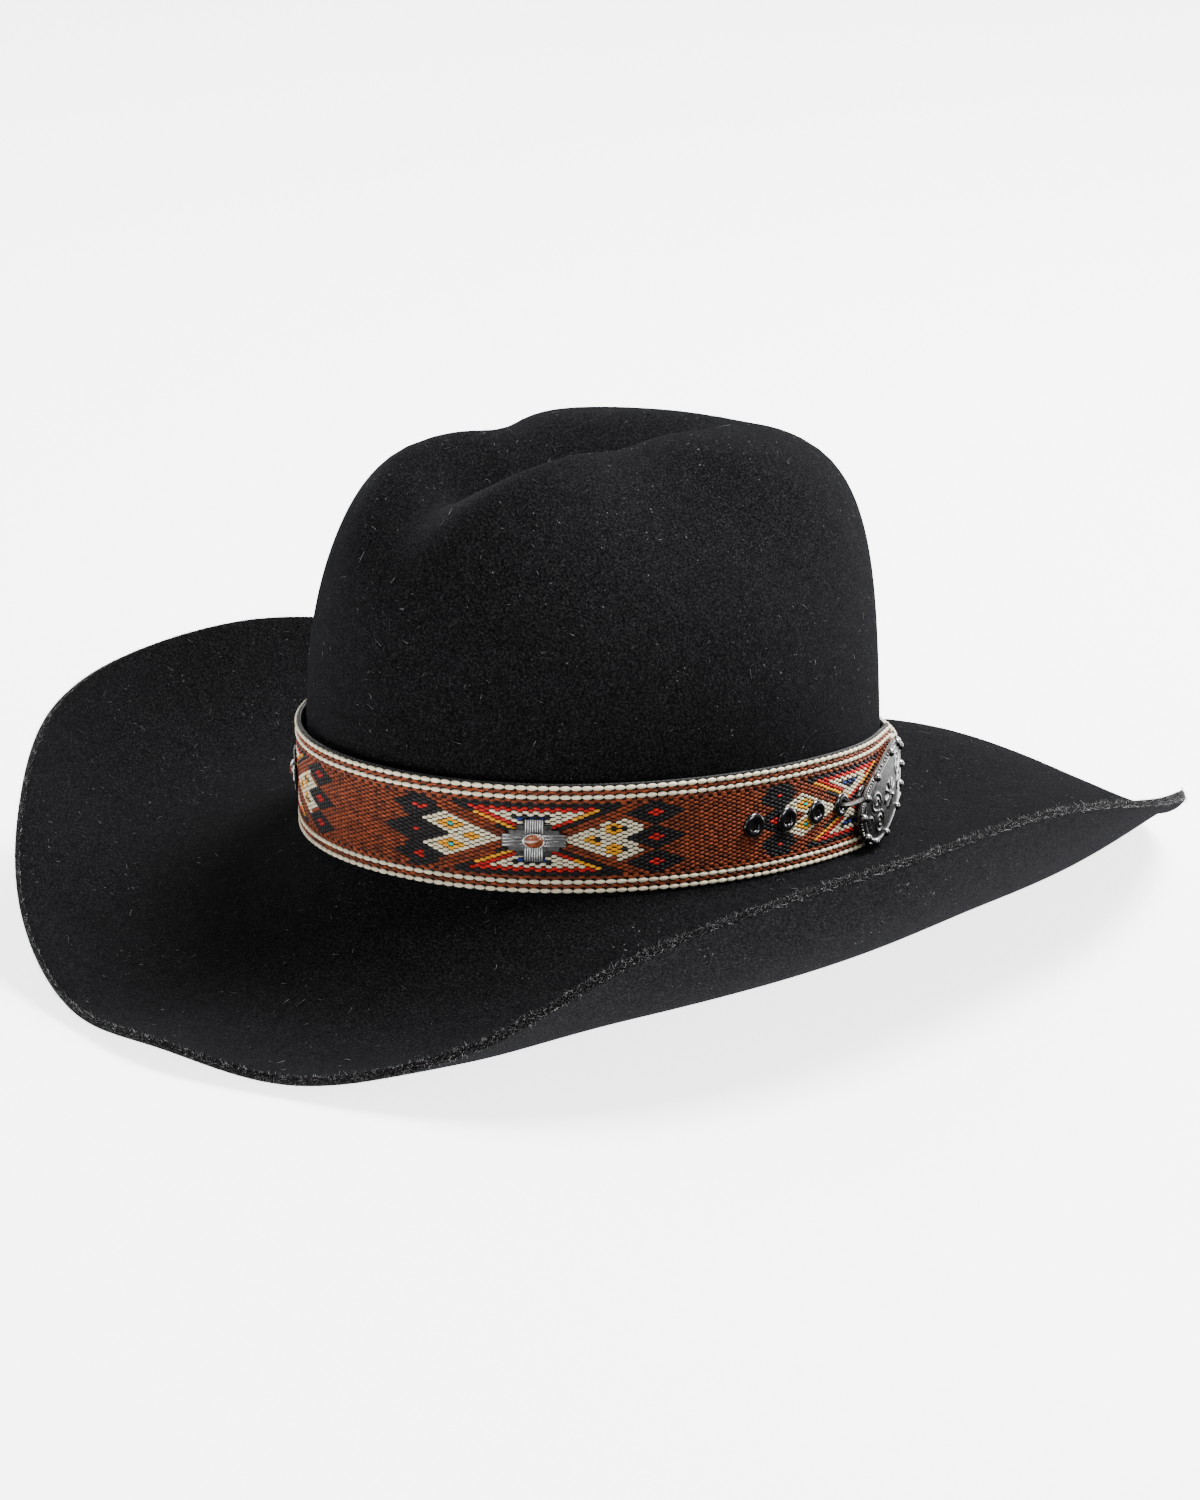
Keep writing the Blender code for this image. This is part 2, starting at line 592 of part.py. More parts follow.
def make_ears():
    """Two wire arms on the plate's back, each ending in an eye round the bail's hinge bar."""
    hinge = seat(HINGE_ARC, BAIL_OUT)
    axes = hinge.to_3x3()
    ears = []
    for sign, side in ((-1, "low"), (1, "high")):
        up = sign * EAR_MIDDLE
        profile = [(FOLD_BORE, EAR_THICK / 2), (EAR_EYE, EAR_THICK / 2)]
        profile += [(r, -z) for r, z in profile[::-1]]
        place = hinge @ Matrix.Translation((0, up, 0)) @ Matrix.Rotation(pi / 2, 4, "X")
        eye = turned("eye", profile, None, place)
        start, leave = (BUCKLE_MIDDLE + along for along in ARM_ROUTE)
        arcs = np.array([start, leave, HINGE_ARC - ARM_BEND[0], HINGE_ARC - ARM_END[0]])
        outs = np.array([plate_out(start), plate_out(start), ARM_BEND[1], ARM_END[1]])
        points = list(wrap(arcs, outs, up))
        for x, z in ARM_TIP:
            points.append(hinge.translation + axes @ Vector((x, up, z)))
        arm = make_tube("arm", np.array(points), EAR_WIRE, None, False)
        ears += [to_cutter(eye, f"eye_{side}"), to_cutter(arm, f"arm_{side}")]
    return ears


def to_cutter(obj, name):
    """The curve as a closed mesh in the cutters' collection."""
    bpy.context.view_layer.update()
    evaluated = obj.evaluated_get(bpy.context.evaluated_depsgraph_get())
    mesh = bpy.data.meshes.new_from_object(evaluated)
    shape = bmesh.new()
    shape.from_mesh(mesh)
    bmesh.ops.remove_doubles(shape, verts=shape.verts, dist=0.000001)
    shape.to_mesh(mesh)
    shape.free()
    made = add_object(name, mesh, None, CUTTERS)
    made.matrix_world = obj.matrix_world.copy()
    made.hide_render = True
    made.display_type = "WIRE"
    bpy.data.objects.remove(obj)
    return made


def make_hook():
    """The prong: out of the plate's front end, then down through its eyelet."""
    start = BUCKLE_MIDDLE - PRONG_ROOT
    level = plate_out(HOOK_ARC) + BUCKLE_THICK / 2 + PRONG_LIFT
    route = [
        (start, plate_out(start) + BUCKLE_THICK / 2),
        (BUCKLE_MIDDLE - PRONG_BEND, level),
    ]
    route += [(HOOK_ARC + behind, level - down) for behind, down in PRONG_CORNER]
    route.append((HOOK_ARC, HOOK_TIP))
    points = np.array([wrap(arc, out, 0.0) for arc, out in route])
    return to_cutter(make_tube("prong", points, HOOK_WIRE, None, False), "prong")


def make_buckle():
    rings = [plate_ring(s, 0.0) for s in (1.0, 0.72, 0.42)]
    points, faces = loft(rings)
    last = len(points) - 24
    faces.append(tuple(range(last, last + 24)))
    plate = add_mesh("buckle_plate", points, faces, SILVER)
    thicken(plate, BUCKLE_THICK, 1)
    for tool in make_ears() + [make_hook()]:
        cut(plate, tool, "UNION")
    rim = plate_ring(RIM_SHARE, BUCKLE_THICK + GAP + RIM_WIRE, 32)
    make_tube("buckle_rim", rim, RIM_WIRE, SILVER, True)
    place = seat(BUCKLE_MIDDLE, plate_out(BUCKLE_MIDDLE) + BUCKLE_THICK + BOSS_CLEAR)
    place = place @ Matrix.Translation((0, -BUCKLE_DROP, 0)) @ Matrix.Rotation(radians(BUCKLE_TURN), 4, "Z")
    long, short = BOSS_SHARE[0] * BUCKLE_LENGTH, BOSS_SHARE[1] * BUCKLE_HEIGHT
    points, faces = loft(ellipse_rings([(long * x, short * x, z) for x, z in BOSS_SECTION], place))
    faces += [tuple(range(15, -1, -1)), tuple(range(48, 64))]
    add_mesh("buckle_boss", points, faces, SILVER)


def make_bail():
    """A wire rectangle: the hinge bar in the ears' eyes, the other bar in the strap's fold."""
    hinge = seat(HINGE_ARC, BAIL_OUT)
    upright = hinge.to_3x3() @ Vector((0, 1, 0))
    span = seat(FOLD_ARC, BAIL_OUT).translation - hinge.translation
    span -= upright * span.dot(upright)
    points = []
    for number, (far, high) in enumerate([(0, -1), (1, -1), (1, 1), (0, 1)]):
        inset = BAIL_BEND * (1 - 2 * far)
        middle = np.array([far * span.length + inset, high * (BAIL_HALF - BAIL_BEND)])
        for turn in np.linspace(0, pi / 2, 3) + (number + 2) * pi / 2:
            points.append(middle + BAIL_BEND * np.array([np.cos(turn), np.sin(turn)]))
    ahead = span.normalized()
    route = [hinge.translation + ahead * float(x) + upright * float(y) for x, y in points]
    make_tube("buckle_bail", np.array(route), BAIL_WIRE, SILVER, True)
    half = STRAP_END_HALF - 2 * GAP
    profile = [(FOLD_BORE, half), (FOLD_OUTSIDE, half), (FOLD_OUTSIDE, -half), (FOLD_BORE, -half)]
    turn = Matrix((ahead.cross(-upright), ahead, upright)).transposed().to_4x4()
    place = Matrix.Translation(hinge.translation + span) @ turn
    turned("strap_fold", profile, LEATHER, place, 12)


# ---------------------------------------------------------------- assembly
def make_band():
    backing = make_strap("band_backing", BAND_FIT, BACKING, 0.0, LEATHER)
    weave_inner = BAND_FIT + BACKING + GAP
    weave = make_strap("band_weave", weave_inner, WEAVE, WEAVE_MARGIN, YARN)
    conchos = [FIRST_CONCHO - k * SPACING for k in range(CONCHO_COUNT - 1)]
    eyelets = [HOOK_ARC + (k - EYELETS_BEFORE_HOOK) * EYELET_PITCH for k in range(EYELET_COUNT)]
    below, above = BAND_FIT - 0.002, BAND_OUT + 0.002
    split = weave_inner - GAP / 2
    outer = [ROUND + arc for arc in eyelets]
    eyelet_holes = make_pegs("eyelet_holes", outer, EYELET_BARREL + HOLE_CLEAR, below, above)
    head_holes = make_pegs("head_holes", conchos, SCREW_HEAD + HOLE_CLEAR, below, split)
    shank_holes = make_pegs("shank_holes", conchos, SCREW_SHANK + HOLE_CLEAR, split, above)
    for strap, holes in ((backing, head_holes), (weave, shank_holes)):
        cut(strap, eyelet_holes)
        cut(strap, holes)
    for number, arc in enumerate(conchos, 1):
        make_concho(number, arc)
    for number, arc in enumerate(outer, 1):
        make_eyelet(number, arc)


make_felt()
sweat_inset = make_sweatband()
make_tube("sweatband_reed", wall(THETA, 0.0, FELT + LINER_CLEAR + 0.001), REED_WIRE, LEATHER, True)
make_bow(sweat_inset)
make_lining()
make_band()
make_buckle()
make_bail()
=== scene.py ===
# %% [markdown]
# # A black felt western hat with a woven, concho-set strap
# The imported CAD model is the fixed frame: it says where every piece sits and how it moves. This
# lesson dresses that frame. The felt, the leathers and the cloths are modelled again as surfaces
# worked out with numpy, the strap is woven bead by bead, and each piece gets its own finish.

# %% The fixed frame
from math import pi, radians

import bmesh
import bpy
import numpy as np
from mathutils import Matrix, Vector


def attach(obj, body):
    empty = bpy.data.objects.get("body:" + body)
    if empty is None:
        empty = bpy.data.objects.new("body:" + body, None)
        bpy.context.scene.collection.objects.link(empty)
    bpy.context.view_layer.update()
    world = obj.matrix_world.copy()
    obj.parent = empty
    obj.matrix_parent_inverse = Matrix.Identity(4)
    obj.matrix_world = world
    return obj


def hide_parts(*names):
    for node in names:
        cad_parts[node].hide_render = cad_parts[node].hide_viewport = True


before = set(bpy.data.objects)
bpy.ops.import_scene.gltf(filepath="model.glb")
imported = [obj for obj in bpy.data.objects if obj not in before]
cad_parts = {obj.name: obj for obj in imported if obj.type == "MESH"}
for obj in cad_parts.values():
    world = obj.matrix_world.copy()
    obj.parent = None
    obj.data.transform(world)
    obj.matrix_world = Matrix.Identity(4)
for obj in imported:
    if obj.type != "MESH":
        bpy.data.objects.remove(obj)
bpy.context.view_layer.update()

# %% [markdown]
# ## Camera, floor and light
# A product view of a hat is taken with a long lens from a little above the brim. The floor is a
# plain pale sweep, and two large soft lamps give the felt its slow gradients.

# %% Camera
EYE = Vector((0.96270, -1.06222, 0.50337))
RIGHT = Vector((0.744117, 0.667802, -0.018201))
UP = Vector((-0.188103, 0.235585, 0.953476))
BACK = Vector((0.641021, -0.706074, 0.300918))

camera_data = bpy.data.cameras.new("camera")
camera_data.sensor_fit = "VERTICAL"
camera_data.sensor_height = 36.0
camera_data.lens = 108.04
camera_data.clip_end = 50.0
camera = bpy.data.objects.new("camera", camera_data)
bpy.context.scene.collection.objects.link(camera)
turn = Matrix((RIGHT, UP, BACK)).transposed().to_4x4()
camera.matrix_world = Matrix.Translation(EYE) @ turn
bpy.context.scene.camera = camera
print("camera at", tuple(round(v, 3) for v in EYE))


# %% Meshes from arrays
def add_mesh(name, points, *faces):
    """A mesh object from an array of points and one or more arrays of faces, all smooth."""
    mesh = bpy.data.meshes.new(name)
    points = np.asarray(points, dtype=np.float32).reshape(-1, 3)
    faces = [np.asarray(f, dtype=np.int32) for f in faces if len(f)]
    corners = np.concatenate([f.ravel() for f in faces])
    totals = np.concatenate([np.full(len(f), f.shape[1]) for f in faces])
    mesh.vertices.add(len(points))
    mesh.vertices.foreach_set("co", points.ravel())
    mesh.loops.add(len(corners))
    mesh.loops.foreach_set("vertex_index", corners.astype(np.int32))
    mesh.polygons.add(len(totals))
    starts = np.r_[0, np.cumsum(totals)[:-1]].astype(np.int32)
    mesh.polygons.foreach_set("loop_start", starts)
    mesh.update(calc_edges=True)
    mesh.validate()
    mesh.shade_smooth()
    obj = bpy.data.objects.new(name, mesh)
    bpy.context.scene.collection.objects.link(obj)
    return obj


def point_value(obj, name, values):
    """Store one number for each point, for a material to read."""
    field = obj.data.attributes.new(name, "FLOAT", "POINT")
    field.data.foreach_set("value", np.asarray(values, dtype=np.float32).ravel())


def grid_faces(rows, count, close_rows=False, close_count=True, first=0):
    """Quads between rows of points; either direction may close on itself."""
    i = np.arange(rows if close_rows else rows - 1)[:, None]
    j = np.arange(count if close_count else count - 1)[None]
    k, m = (j + 1) % count, (i + 1) % rows
    quads = np.stack([i * count + j, i * count + k, m * count + k, m * count + j], -1)
    return quads.reshape(-1, 4) + first


def end_fans(rows, sides):
    """Triangles from the first and the last ring of a stack to the two points that follow it."""
    j = np.arange(sides)
    k = (j + 1) % sides
    last, pole = (rows - 1) * sides, np.full(sides, rows * sides)
    return np.concatenate([np.stack([k, j, pole], -1), np.stack([last + j, last + k, pole + 1], -1)])


def copies(faces, count, size):
    """The same faces for each of count copies of a template with size points."""
    return (faces[None] + (np.arange(count) * size)[:, None, None]).reshape(-1, faces.shape[1])


def full_turn(count):
    """Angles of equal steps round a full turn."""
    return np.arange(count) / count * 2 * pi


def rings_across(side, other, sides):
    """Unit rings: side times the cosine plus other times the sine of each step's angle."""
    turn_angle = full_turn(sides)
    ring = side[:, None] * np.cos(turn_angle)[None, :, None]
    return ring + other[:, None] * np.sin(turn_angle)[None, :, None]


def unit(vectors):
    """Each vector divided by its own length."""
    return vectors / np.linalg.norm(vectors, axis=-1, keepdims=True)


def outward(obj):
    """Turn every face of a closed mesh outwards."""
    shape = bmesh.new()
    shape.from_mesh(obj.data)
    bmesh.ops.recalc_face_normals(shape, faces=shape.faces)
    shape.to_mesh(obj.data)
    shape.free()
    return obj


def dress(obj, material, body, slot, *nodes):
    """Give a piece its finish and its body, and hide the CAD nodes that it stands for; slot is not used."""
    obj.data.materials.clear()
    obj.data.materials.append(material)
    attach(obj, body)
    if nodes:
        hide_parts(*nodes)
    print(f"{obj.name}: {len(obj.data.vertices)} points, rides on {body}")
    return obj


# %% Floor and light
FLOOR_GLOW = 3.4


def plain(name, colour, roughness):
    """A Principled material of one colour."""
    material = bpy.data.materials.new(name)
    material.use_nodes = True
    shader = material.node_tree.nodes["Principled BSDF"]
    shader.inputs["Base Color"].default_value = (*colour, 1.0)
    shader.inputs["Roughness"].default_value = roughness
    return material


def make_floor():
    """A flat sheet that curves up a long way behind the hat."""
    across = np.linspace(-6.0, 6.0, 3)
    along = np.array([-6.0, 2.5, 3.2, 3.8, 4.2, 4.4])
    rise = np.array([0.0, 0.0, 0.1, 0.4, 1.0, 6.0])
    view = np.array([-BACK.x, -BACK.y]) / np.hypot(BACK.x, BACK.y)
    side = np.array([-view[1], view[0]])
    x = along[:, None] * view[0] + across[None] * side[0]
    y = along[:, None] * view[1] + across[None] * side[1]
    points = np.stack([x, y, np.broadcast_to(rise[:, None], x.shape)], -1)
    floor = add_mesh("floor", points, grid_faces(6, 3, close_count=False)[:, ::-1])
    paper = plain("floor_paper", (0.90, 0.90, 0.90), 0.95)
    shader = paper.node_tree.nodes["Principled BSDF"]
    shader.inputs["Emission Color"].default_value = (1.0, 1.0, 1.0, 1.0)
    shader.inputs["Emission Strength"].default_value = FLOOR_GLOW
    floor.data.materials.append(paper)


def add_lamp(name, place, aim, size, power):
    """A square lamp at a place, turned to face its aim."""
    data = bpy.data.lights.new(name, "AREA")
    data.shape = "SQUARE"
    data.size = size
    data.energy = power
    lamp = bpy.data.objects.new(name, data)
    bpy.context.scene.collection.objects.link(lamp)
    lamp.location = place
    lamp.rotation_euler = (Vector(aim) - Vector(place)).to_track_quat("-Z", "Y").to_euler()


make_floor()
add_lamp("lamp_above", (0.5, 0.9, 1.9), (0.0, 0.0, 0.1), 0.9, 170.0)
add_lamp("lamp_front", (0.6, -2.4, 1.6), (0.0, 0.0, 0.08), 1.0, 12.0)
add_lamp("lamp_right", (2.4, 0.2, 1.1), (0.0, 0.0, 0.08), 1.0, 30.0)
world = bpy.data.worlds.new("studio")
bpy.context.scene.world = world
world.use_nodes = True
world.node_tree.nodes["Background"].inputs["Color"].default_value = (1.0, 1.0, 1.0, 1.0)
world.node_tree.nodes["Background"].inputs["Strength"].default_value = 0.22
print("stage ready")

# %% [markdown]
# ## The hat's own shape
# The crown stands on an oval, and the brim's slope turns steadily from the crown to its edge. The
# same few formulas that shape the CAD are used again here, only on a much finer grid, so the fine
# felt lies where the frame's felt does.

# %% Sizes of the felt
HALF_LENGTH = 0.1045
HALF_WIDTH = 0.0880
FELT = 0.003
BREAK_RISE = [0.0356, 0.0345, 0.0321, 0.0280, 0.0222, 0.0191, 0.0192]
BRIM_WIDTH = [0.1055, 0.1045, 0.1160, 0.1095, 0.1040, 0.1045, 0.1055]
ROOT_SLOPE = [-39.0, -35.0, -18.7, -10.0, -9.2, -3.3, 3.8]
EDGE_SLOPE = [16.2, 12.7, 29.2, 59.7, 69.7, 70.5, 69.5, 60.5, 43.8, 22.3, -11.6, -25.4, -26.6]
CROWN_HEIGHT, CROWN_FALL = 0.135, 0.070
BREAK_FALL, BREAK_MEAN = 0.0786, 0.0274
CREASE_FROM, CREASE_TO = -0.077, 0.087
CREASE_WIDE, CREASE_SLIM = 0.0168, 0.0105
EDGE_LEVEL = 0.965
DENT_DEPTH, DENT_LEVEL, DENT_REACH = 0.021, 0.93, 0.22
DENT_MIDDLE, DENT_SPREAD = -12.0, 30.0  # degrees from the side, towards the front
PINCH = 0.26
CREASE_DEPTH, LIP_DEPTH = 0.026, 0.019


def smooth(x):
    """0 below 0, 1 above 1, and an S curve between."""
    x = np.clip(x, 0.0, 1.0)
    return x * x * (3.0 - 2.0 * x)


def around(values, theta):
    """A smooth closed curve through values listed from the front to the back, both sides alike."""
    full = np.concatenate([values, values[-2:0:-1]])
    place = (theta + pi / 2) % (2 * pi) / (2 * pi) * len(full)
    i = np.floor(place).astype(int)
    f = place - i
    a, b, c, d = (full[(i + k) % len(full)] for k in (-1, 0, 1, 2))
    rise = 2 * b + (c - a) * f + (2 * a - 5 * b + 4 * c - d) * f**2
    return 0.5 * (rise + (3 * b - a - 3 * c + d) * f**3)


def oval(theta, out=0.0):
    """Plan of the crown's wall at the break, moved out along its normal: x, y and the normal."""
    nx, ny = np.cos(theta) / HALF_WIDTH, np.sin(theta) / HALF_LENGTH
    size = np.hypot(nx, ny)
    nx, ny = nx / size, ny / size
    return HALF_WIDTH * np.cos(theta) + out * nx, HALF_LENGTH * np.sin(theta) + out * ny, nx, ny


def brim(theta, steps):
    """The brim's middle surface from the crown out: its slope turns along an S curve, and the
    place is the sum of equal steps taken at that slope."""
    root = around(ROOT_SLOPE, theta)[:, None]
    edge = around(EDGE_SLOPE, theta)[:, None]
    middle = (np.arange(steps) + 0.5)[None] / steps
    slope = np.radians(root + (edge - root) * smooth((middle - 0.154) / (1.03 - 0.154)))
    step = around(BRIM_WIDTH, theta)[:, None] / steps
    start = np.zeros((len(theta), 1))
    out = np.concatenate([start, np.cumsum(step * np.cos(slope), 1)], 1)
    up = np.concatenate([start, np.cumsum(step * np.sin(slope), 1)], 1)
    x, y, nx, ny = oval(theta)
    rise = around(BREAK_RISE, theta)[:, None]
    return np.stack([x[:, None] + out * nx[:, None], y[:, None] + out * ny[:, None], rise + up], -1)


def crown(theta, level, inset):
    """The crown at matching angles and levels: 0 to 1 climbs the wall, 1 to 2 crosses the top.

    Plan share to the power m plus height share to the power m is 1. Bell curves press in the side
    dents and the centre crease, and the front is pinched."""
    x, y, nx, ny = oval(theta, -inset)
    front = 0.5 * (1 - np.sin(theta))
    side = np.cos(theta) ** 2
    m = (5.9 * front + 7.5 * (1 - front)) * (1 - side) + 3.9 * side
    taper = (0.060 * front + 0.005 * (1 - front)) * (1 - side) + 0.020 * side
    low = (1 - (np.minimum(level, 1.0) * EDGE_LEVEL) ** m) ** (1 / m)
    share = np.where(level <= 1, low, (1 - EDGE_LEVEL**m) ** (1 / m) * (2 - level))
    height = np.where(level <= 1, level * EDGE_LEVEL, (1 - np.minimum(share, 1) ** m) ** (1 / m))
    share = share * (1 - taper * height)
    degrees = np.degrees(np.arctan2(np.sin(theta), np.abs(np.cos(theta))))
    dent = DENT_DEPTH * np.exp(-(((degrees - DENT_MIDDLE) / DENT_SPREAD) ** 2))
    dent = dent * np.exp(-(((height - DENT_LEVEL) / DENT_REACH) ** 2)) * smooth(share / 0.35)
    pinch = 1 - PINCH * smooth((height - 0.3) / 0.7) * smooth(-np.sin(theta))
    x = x * share * pinch - dent * nx
    y = y * share - 0.6 * dent * ny
    top = smooth((height - 0.5) / 0.45)
    width = CREASE_WIDE + (CREASE_SLIM - CREASE_WIDE) * smooth((y + 0.05) / 0.12)
    run = smooth((y - CREASE_FROM) / 0.04) * smooth((CREASE_TO - y) / 0.12)
    crease = CREASE_DEPTH * run * np.exp(-((x / width) ** 2)) * top
    lip = LIP_DEPTH * smooth((CREASE_FROM + 0.05 - y) / 0.05) * top
    lip = lip * np.exp(-((x / (1.3 * CREASE_WIDE)) ** 2))
    blend = smooth(height)
    base = around(BREAK_RISE, theta) * (1 - blend) + (BREAK_MEAN - BREAK_FALL * y) * blend
    z = height * (CROWN_HEIGHT - CROWN_FALL * y) - crease - lip + base
    return np.stack(np.broadcast_arrays(x, y, z), -1)


edge_ring = brim(full_turn(48), 20)[:, -1]
MIDDLE = 0.5 * (edge_ring[:, 1].min() + edge_ring[:, 1].max())
GROUND = 0.0001
print("brim's middle in the crown's frame:", round(float(MIDDLE), 5))


def settle(points):
    """From the crown's own frame to the hat's, whose origin is under the brim's middle."""
    return points - np.array([0.0, MIDDLE, GROUND])


def wall(theta, height, inset):
    """Points on the crown's wall, a height above the break and inset from its outer side."""
    full = CROWN_HEIGHT - CROWN_FALL * oval(theta)[1]
    return settle(crown(theta, height / full / EDGE_LEVEL, inset))


# %% The felt shell
AROUND, BRIM_STEPS = 320, 62


def felt_grid():
    """The felt's middle surface, from the brim's edge in to the break and up over the crown."""
    theta = full_turn(AROUND)
    flat = brim(theta, BRIM_STEPS)[:, :0:-1]
    wall_levels = np.linspace(0.0, 1.0, 46)[1:]
    top_levels = 1.0 + np.linspace(0.0, 0.985, 34)[1:]
    levels = np.concatenate([wall_levels, top_levels])[None]
    dome = crown(theta[:, None], levels, FELT / 2)
    grid = np.concatenate([flat, dome], 1)
    near = np.exp(-(((np.arange(grid.shape[1]) - BRIM_STEPS) / 3.0) ** 2))[None, :, None]
    for _ in range(3):
        eased = grid.copy()
        eased[:, 1:-1] = 0.5 * grid[:, 1:-1] + 0.25 * (grid[:, :-2] + grid[:, 2:])
        grid = grid + near * (eased - grid)
    return settle(grid)


def grid_normals(grid):
    """Unit normals of a grid closed round its first direction: the cross of its two slopes."""
    turn_slope = np.roll(grid, -1, 0) - np.roll(grid, 1, 0)
    run_slope = np.gradient(grid, axis=1)
    normal = np.cross(run_slope, turn_slope)
    normal /= np.linalg.norm(normal, axis=2, keepdims=True)
    return -normal if normal[0, 0, 2] < 0 else normal


felt_middle = felt_grid()
felt_normal = grid_normals(felt_middle)
if felt_normal[:, 20, 2].mean() < 0:
    felt_normal = -felt_normal
print("felt grid:", felt_middle.shape)


def make_felt():
    """A closed shell: outer side, inner side and a rounded cut edge between them at the rim."""
    outer = felt_middle + 0.5 * FELT * felt_normal
    inner = felt_middle - 0.5 * FELT * felt_normal
    away = felt_middle[:, 0] - felt_middle[:, 2]
    away /= np.linalg.norm(away, axis=1, keepdims=True)
    sides = [(0.94, 0.00016), (0.62, 0.00034), (0.0, 0.00042), (-0.62, 0.00034), (-0.94, 0.00016)]
    rim = [felt_middle[:, 0] + 0.5 * FELT * s * felt_normal[:, 0] + d * away for s, d in sides]
    rows = [outer[:, k] for k in range(outer.shape[1] - 1, -1, -1)] + rim
    rows += [inner[:, k] for k in range(inner.shape[1])]
    apex = settle(crown(np.array([pi / 2]), np.array([2.0]), FELT / 2))[0]
    top = apex + np.array([0.0, 0.0, FELT / 2])
    under = apex - np.array([0.0, 0.0, FELT / 2])
    points = np.concatenate(rows + [[top], [under]])
    points[:, 2] = np.maximum(points[:, 2], 0.0)
    count = len(rows)
    felt = add_mesh("felt_hat", points, grid_faces(count, AROUND), end_fans(count, AROUND))
    cut = np.zeros(len(points))
    start = outer.shape[1] * AROUND
    cut[start:start + 5 * AROUND] = 1.0
    point_value(felt, "cut", cut)
    return outward(felt)


felt_hat = make_felt()


# %% [markdown]
# ## Felt's finish
# Wool felt is a mat of fine hairs. It is nearly black head on, goes soft grey where light grazes
# it, and its surface is mottled at the scale of a few millimetres and grainy at half a millimetre.
# Loose pale lint clings to it, and the raw cut edge is fuzzy and lighter.

# %% Helpers for node materials
class Finish:
    """A Principled material and short ways to add nodes to it."""

    def __init__(self, name, colour, roughness, metallic=0.0):
        self.material = bpy.data.materials.new(name)
        self.material.use_nodes = True
        self.tree = self.material.node_tree
        self.shader = self.tree.nodes["Principled BSDF"]
        self.set("Base Color", (*colour, 1.0))
        self.set("Roughness", roughness)
        self.set("Metallic", metallic)
        self.place = self.tree.nodes.new("ShaderNodeTexCoord").outputs["Object"]

    def set(self, socket, value):
        self.shader.inputs[socket].default_value = value

    def link(self, output, socket):
        self.tree.links.new(output, socket)

    def noise(self, scale, detail=2.0, rough=0.5, stretch=None):
        node = self.tree.nodes.new("ShaderNodeTexNoise")
        node.inputs["Scale"].default_value = scale
        node.inputs["Detail"].default_value = detail
        node.inputs["Roughness"].default_value = rough
        source = self.place
        if stretch:
            mapping = self.tree.nodes.new("ShaderNodeMapping")
            mapping.inputs["Scale"].default_value = stretch
            self.link(source, mapping.inputs["Vector"])
            source = mapping.outputs["Vector"]
        self.link(source, node.inputs["Vector"])
        return node.outputs["Fac"]

    def cells(self, scale, feature="F1"):
        node = self.tree.nodes.new("ShaderNodeTexVoronoi")
        node.feature = feature
        node.inputs["Scale"].default_value = scale
        self.link(self.place, node.inputs["Vector"])
        return node.outputs["Distance"]

    def value(self, name):
        node = self.tree.nodes.new("ShaderNodeAttribute")
        node.attribute_name = name
        return node.outputs["Fac"]

    def ramp(self, source, stops):
        """Colours (or grey levels) along a value: pairs of place and colour."""
        node = self.tree.nodes.new("ShaderNodeValToRGB")
        ramp = node.color_ramp
        while len(ramp.elements) < len(stops):
            ramp.elements.new(0.5)
        for element, (place, colour) in zip(ramp.elements, stops):
            element.position = place
            element.color = (*colour, 1.0) if len(np.shape(colour)) else (colour,) * 3 + (1.0,)
        self.link(source, node.inputs["Fac"])
        return node.outputs["Color"]

    def mix(self, share, first, second, blend="MIX"):
        node = self.tree.nodes.new("ShaderNodeMix")
        node.data_type = "RGBA"
        node.blend_type = blend
        for socket, given in ((node.inputs[0], share), (node.inputs[6], first), (node.inputs[7], second)):
            if isinstance(given, bpy.types.NodeSocket):
                self.link(given, socket)
            else:
                socket.default_value = given if np.isscalar(given) else (*given, 1.0)
        return node.outputs[2]

    def math(self, operation, first, second):
        node = self.tree.nodes.new("ShaderNodeMath")
        node.operation = operation
        for socket, given in ((node.inputs[0], first), (node.inputs[1], second)):
            if isinstance(given, bpy.types.NodeSocket):
                self.link(given, socket)
            else:
                socket.default_value = given
        return node.outputs[0]

    def bump(self, height, depth, strength=1.0):
        node = self.tree.nodes.new("ShaderNodeBump")
        node.inputs["Strength"].default_value = strength
        node.inputs["Distance"].default_value = depth
        self.link(height, node.inputs["Height"])
        last = self.shader.inputs["Normal"]
        if last.is_linked:
            self.link(last.links[0].from_socket, node.inputs["Normal"])
        self.link(node.outputs["Normal"], last)

    def colour(self, source):
        self.link(source, self.shader.inputs["Base Color"])

    def rough(self, source):
        self.link(source, self.shader.inputs["Roughness"])


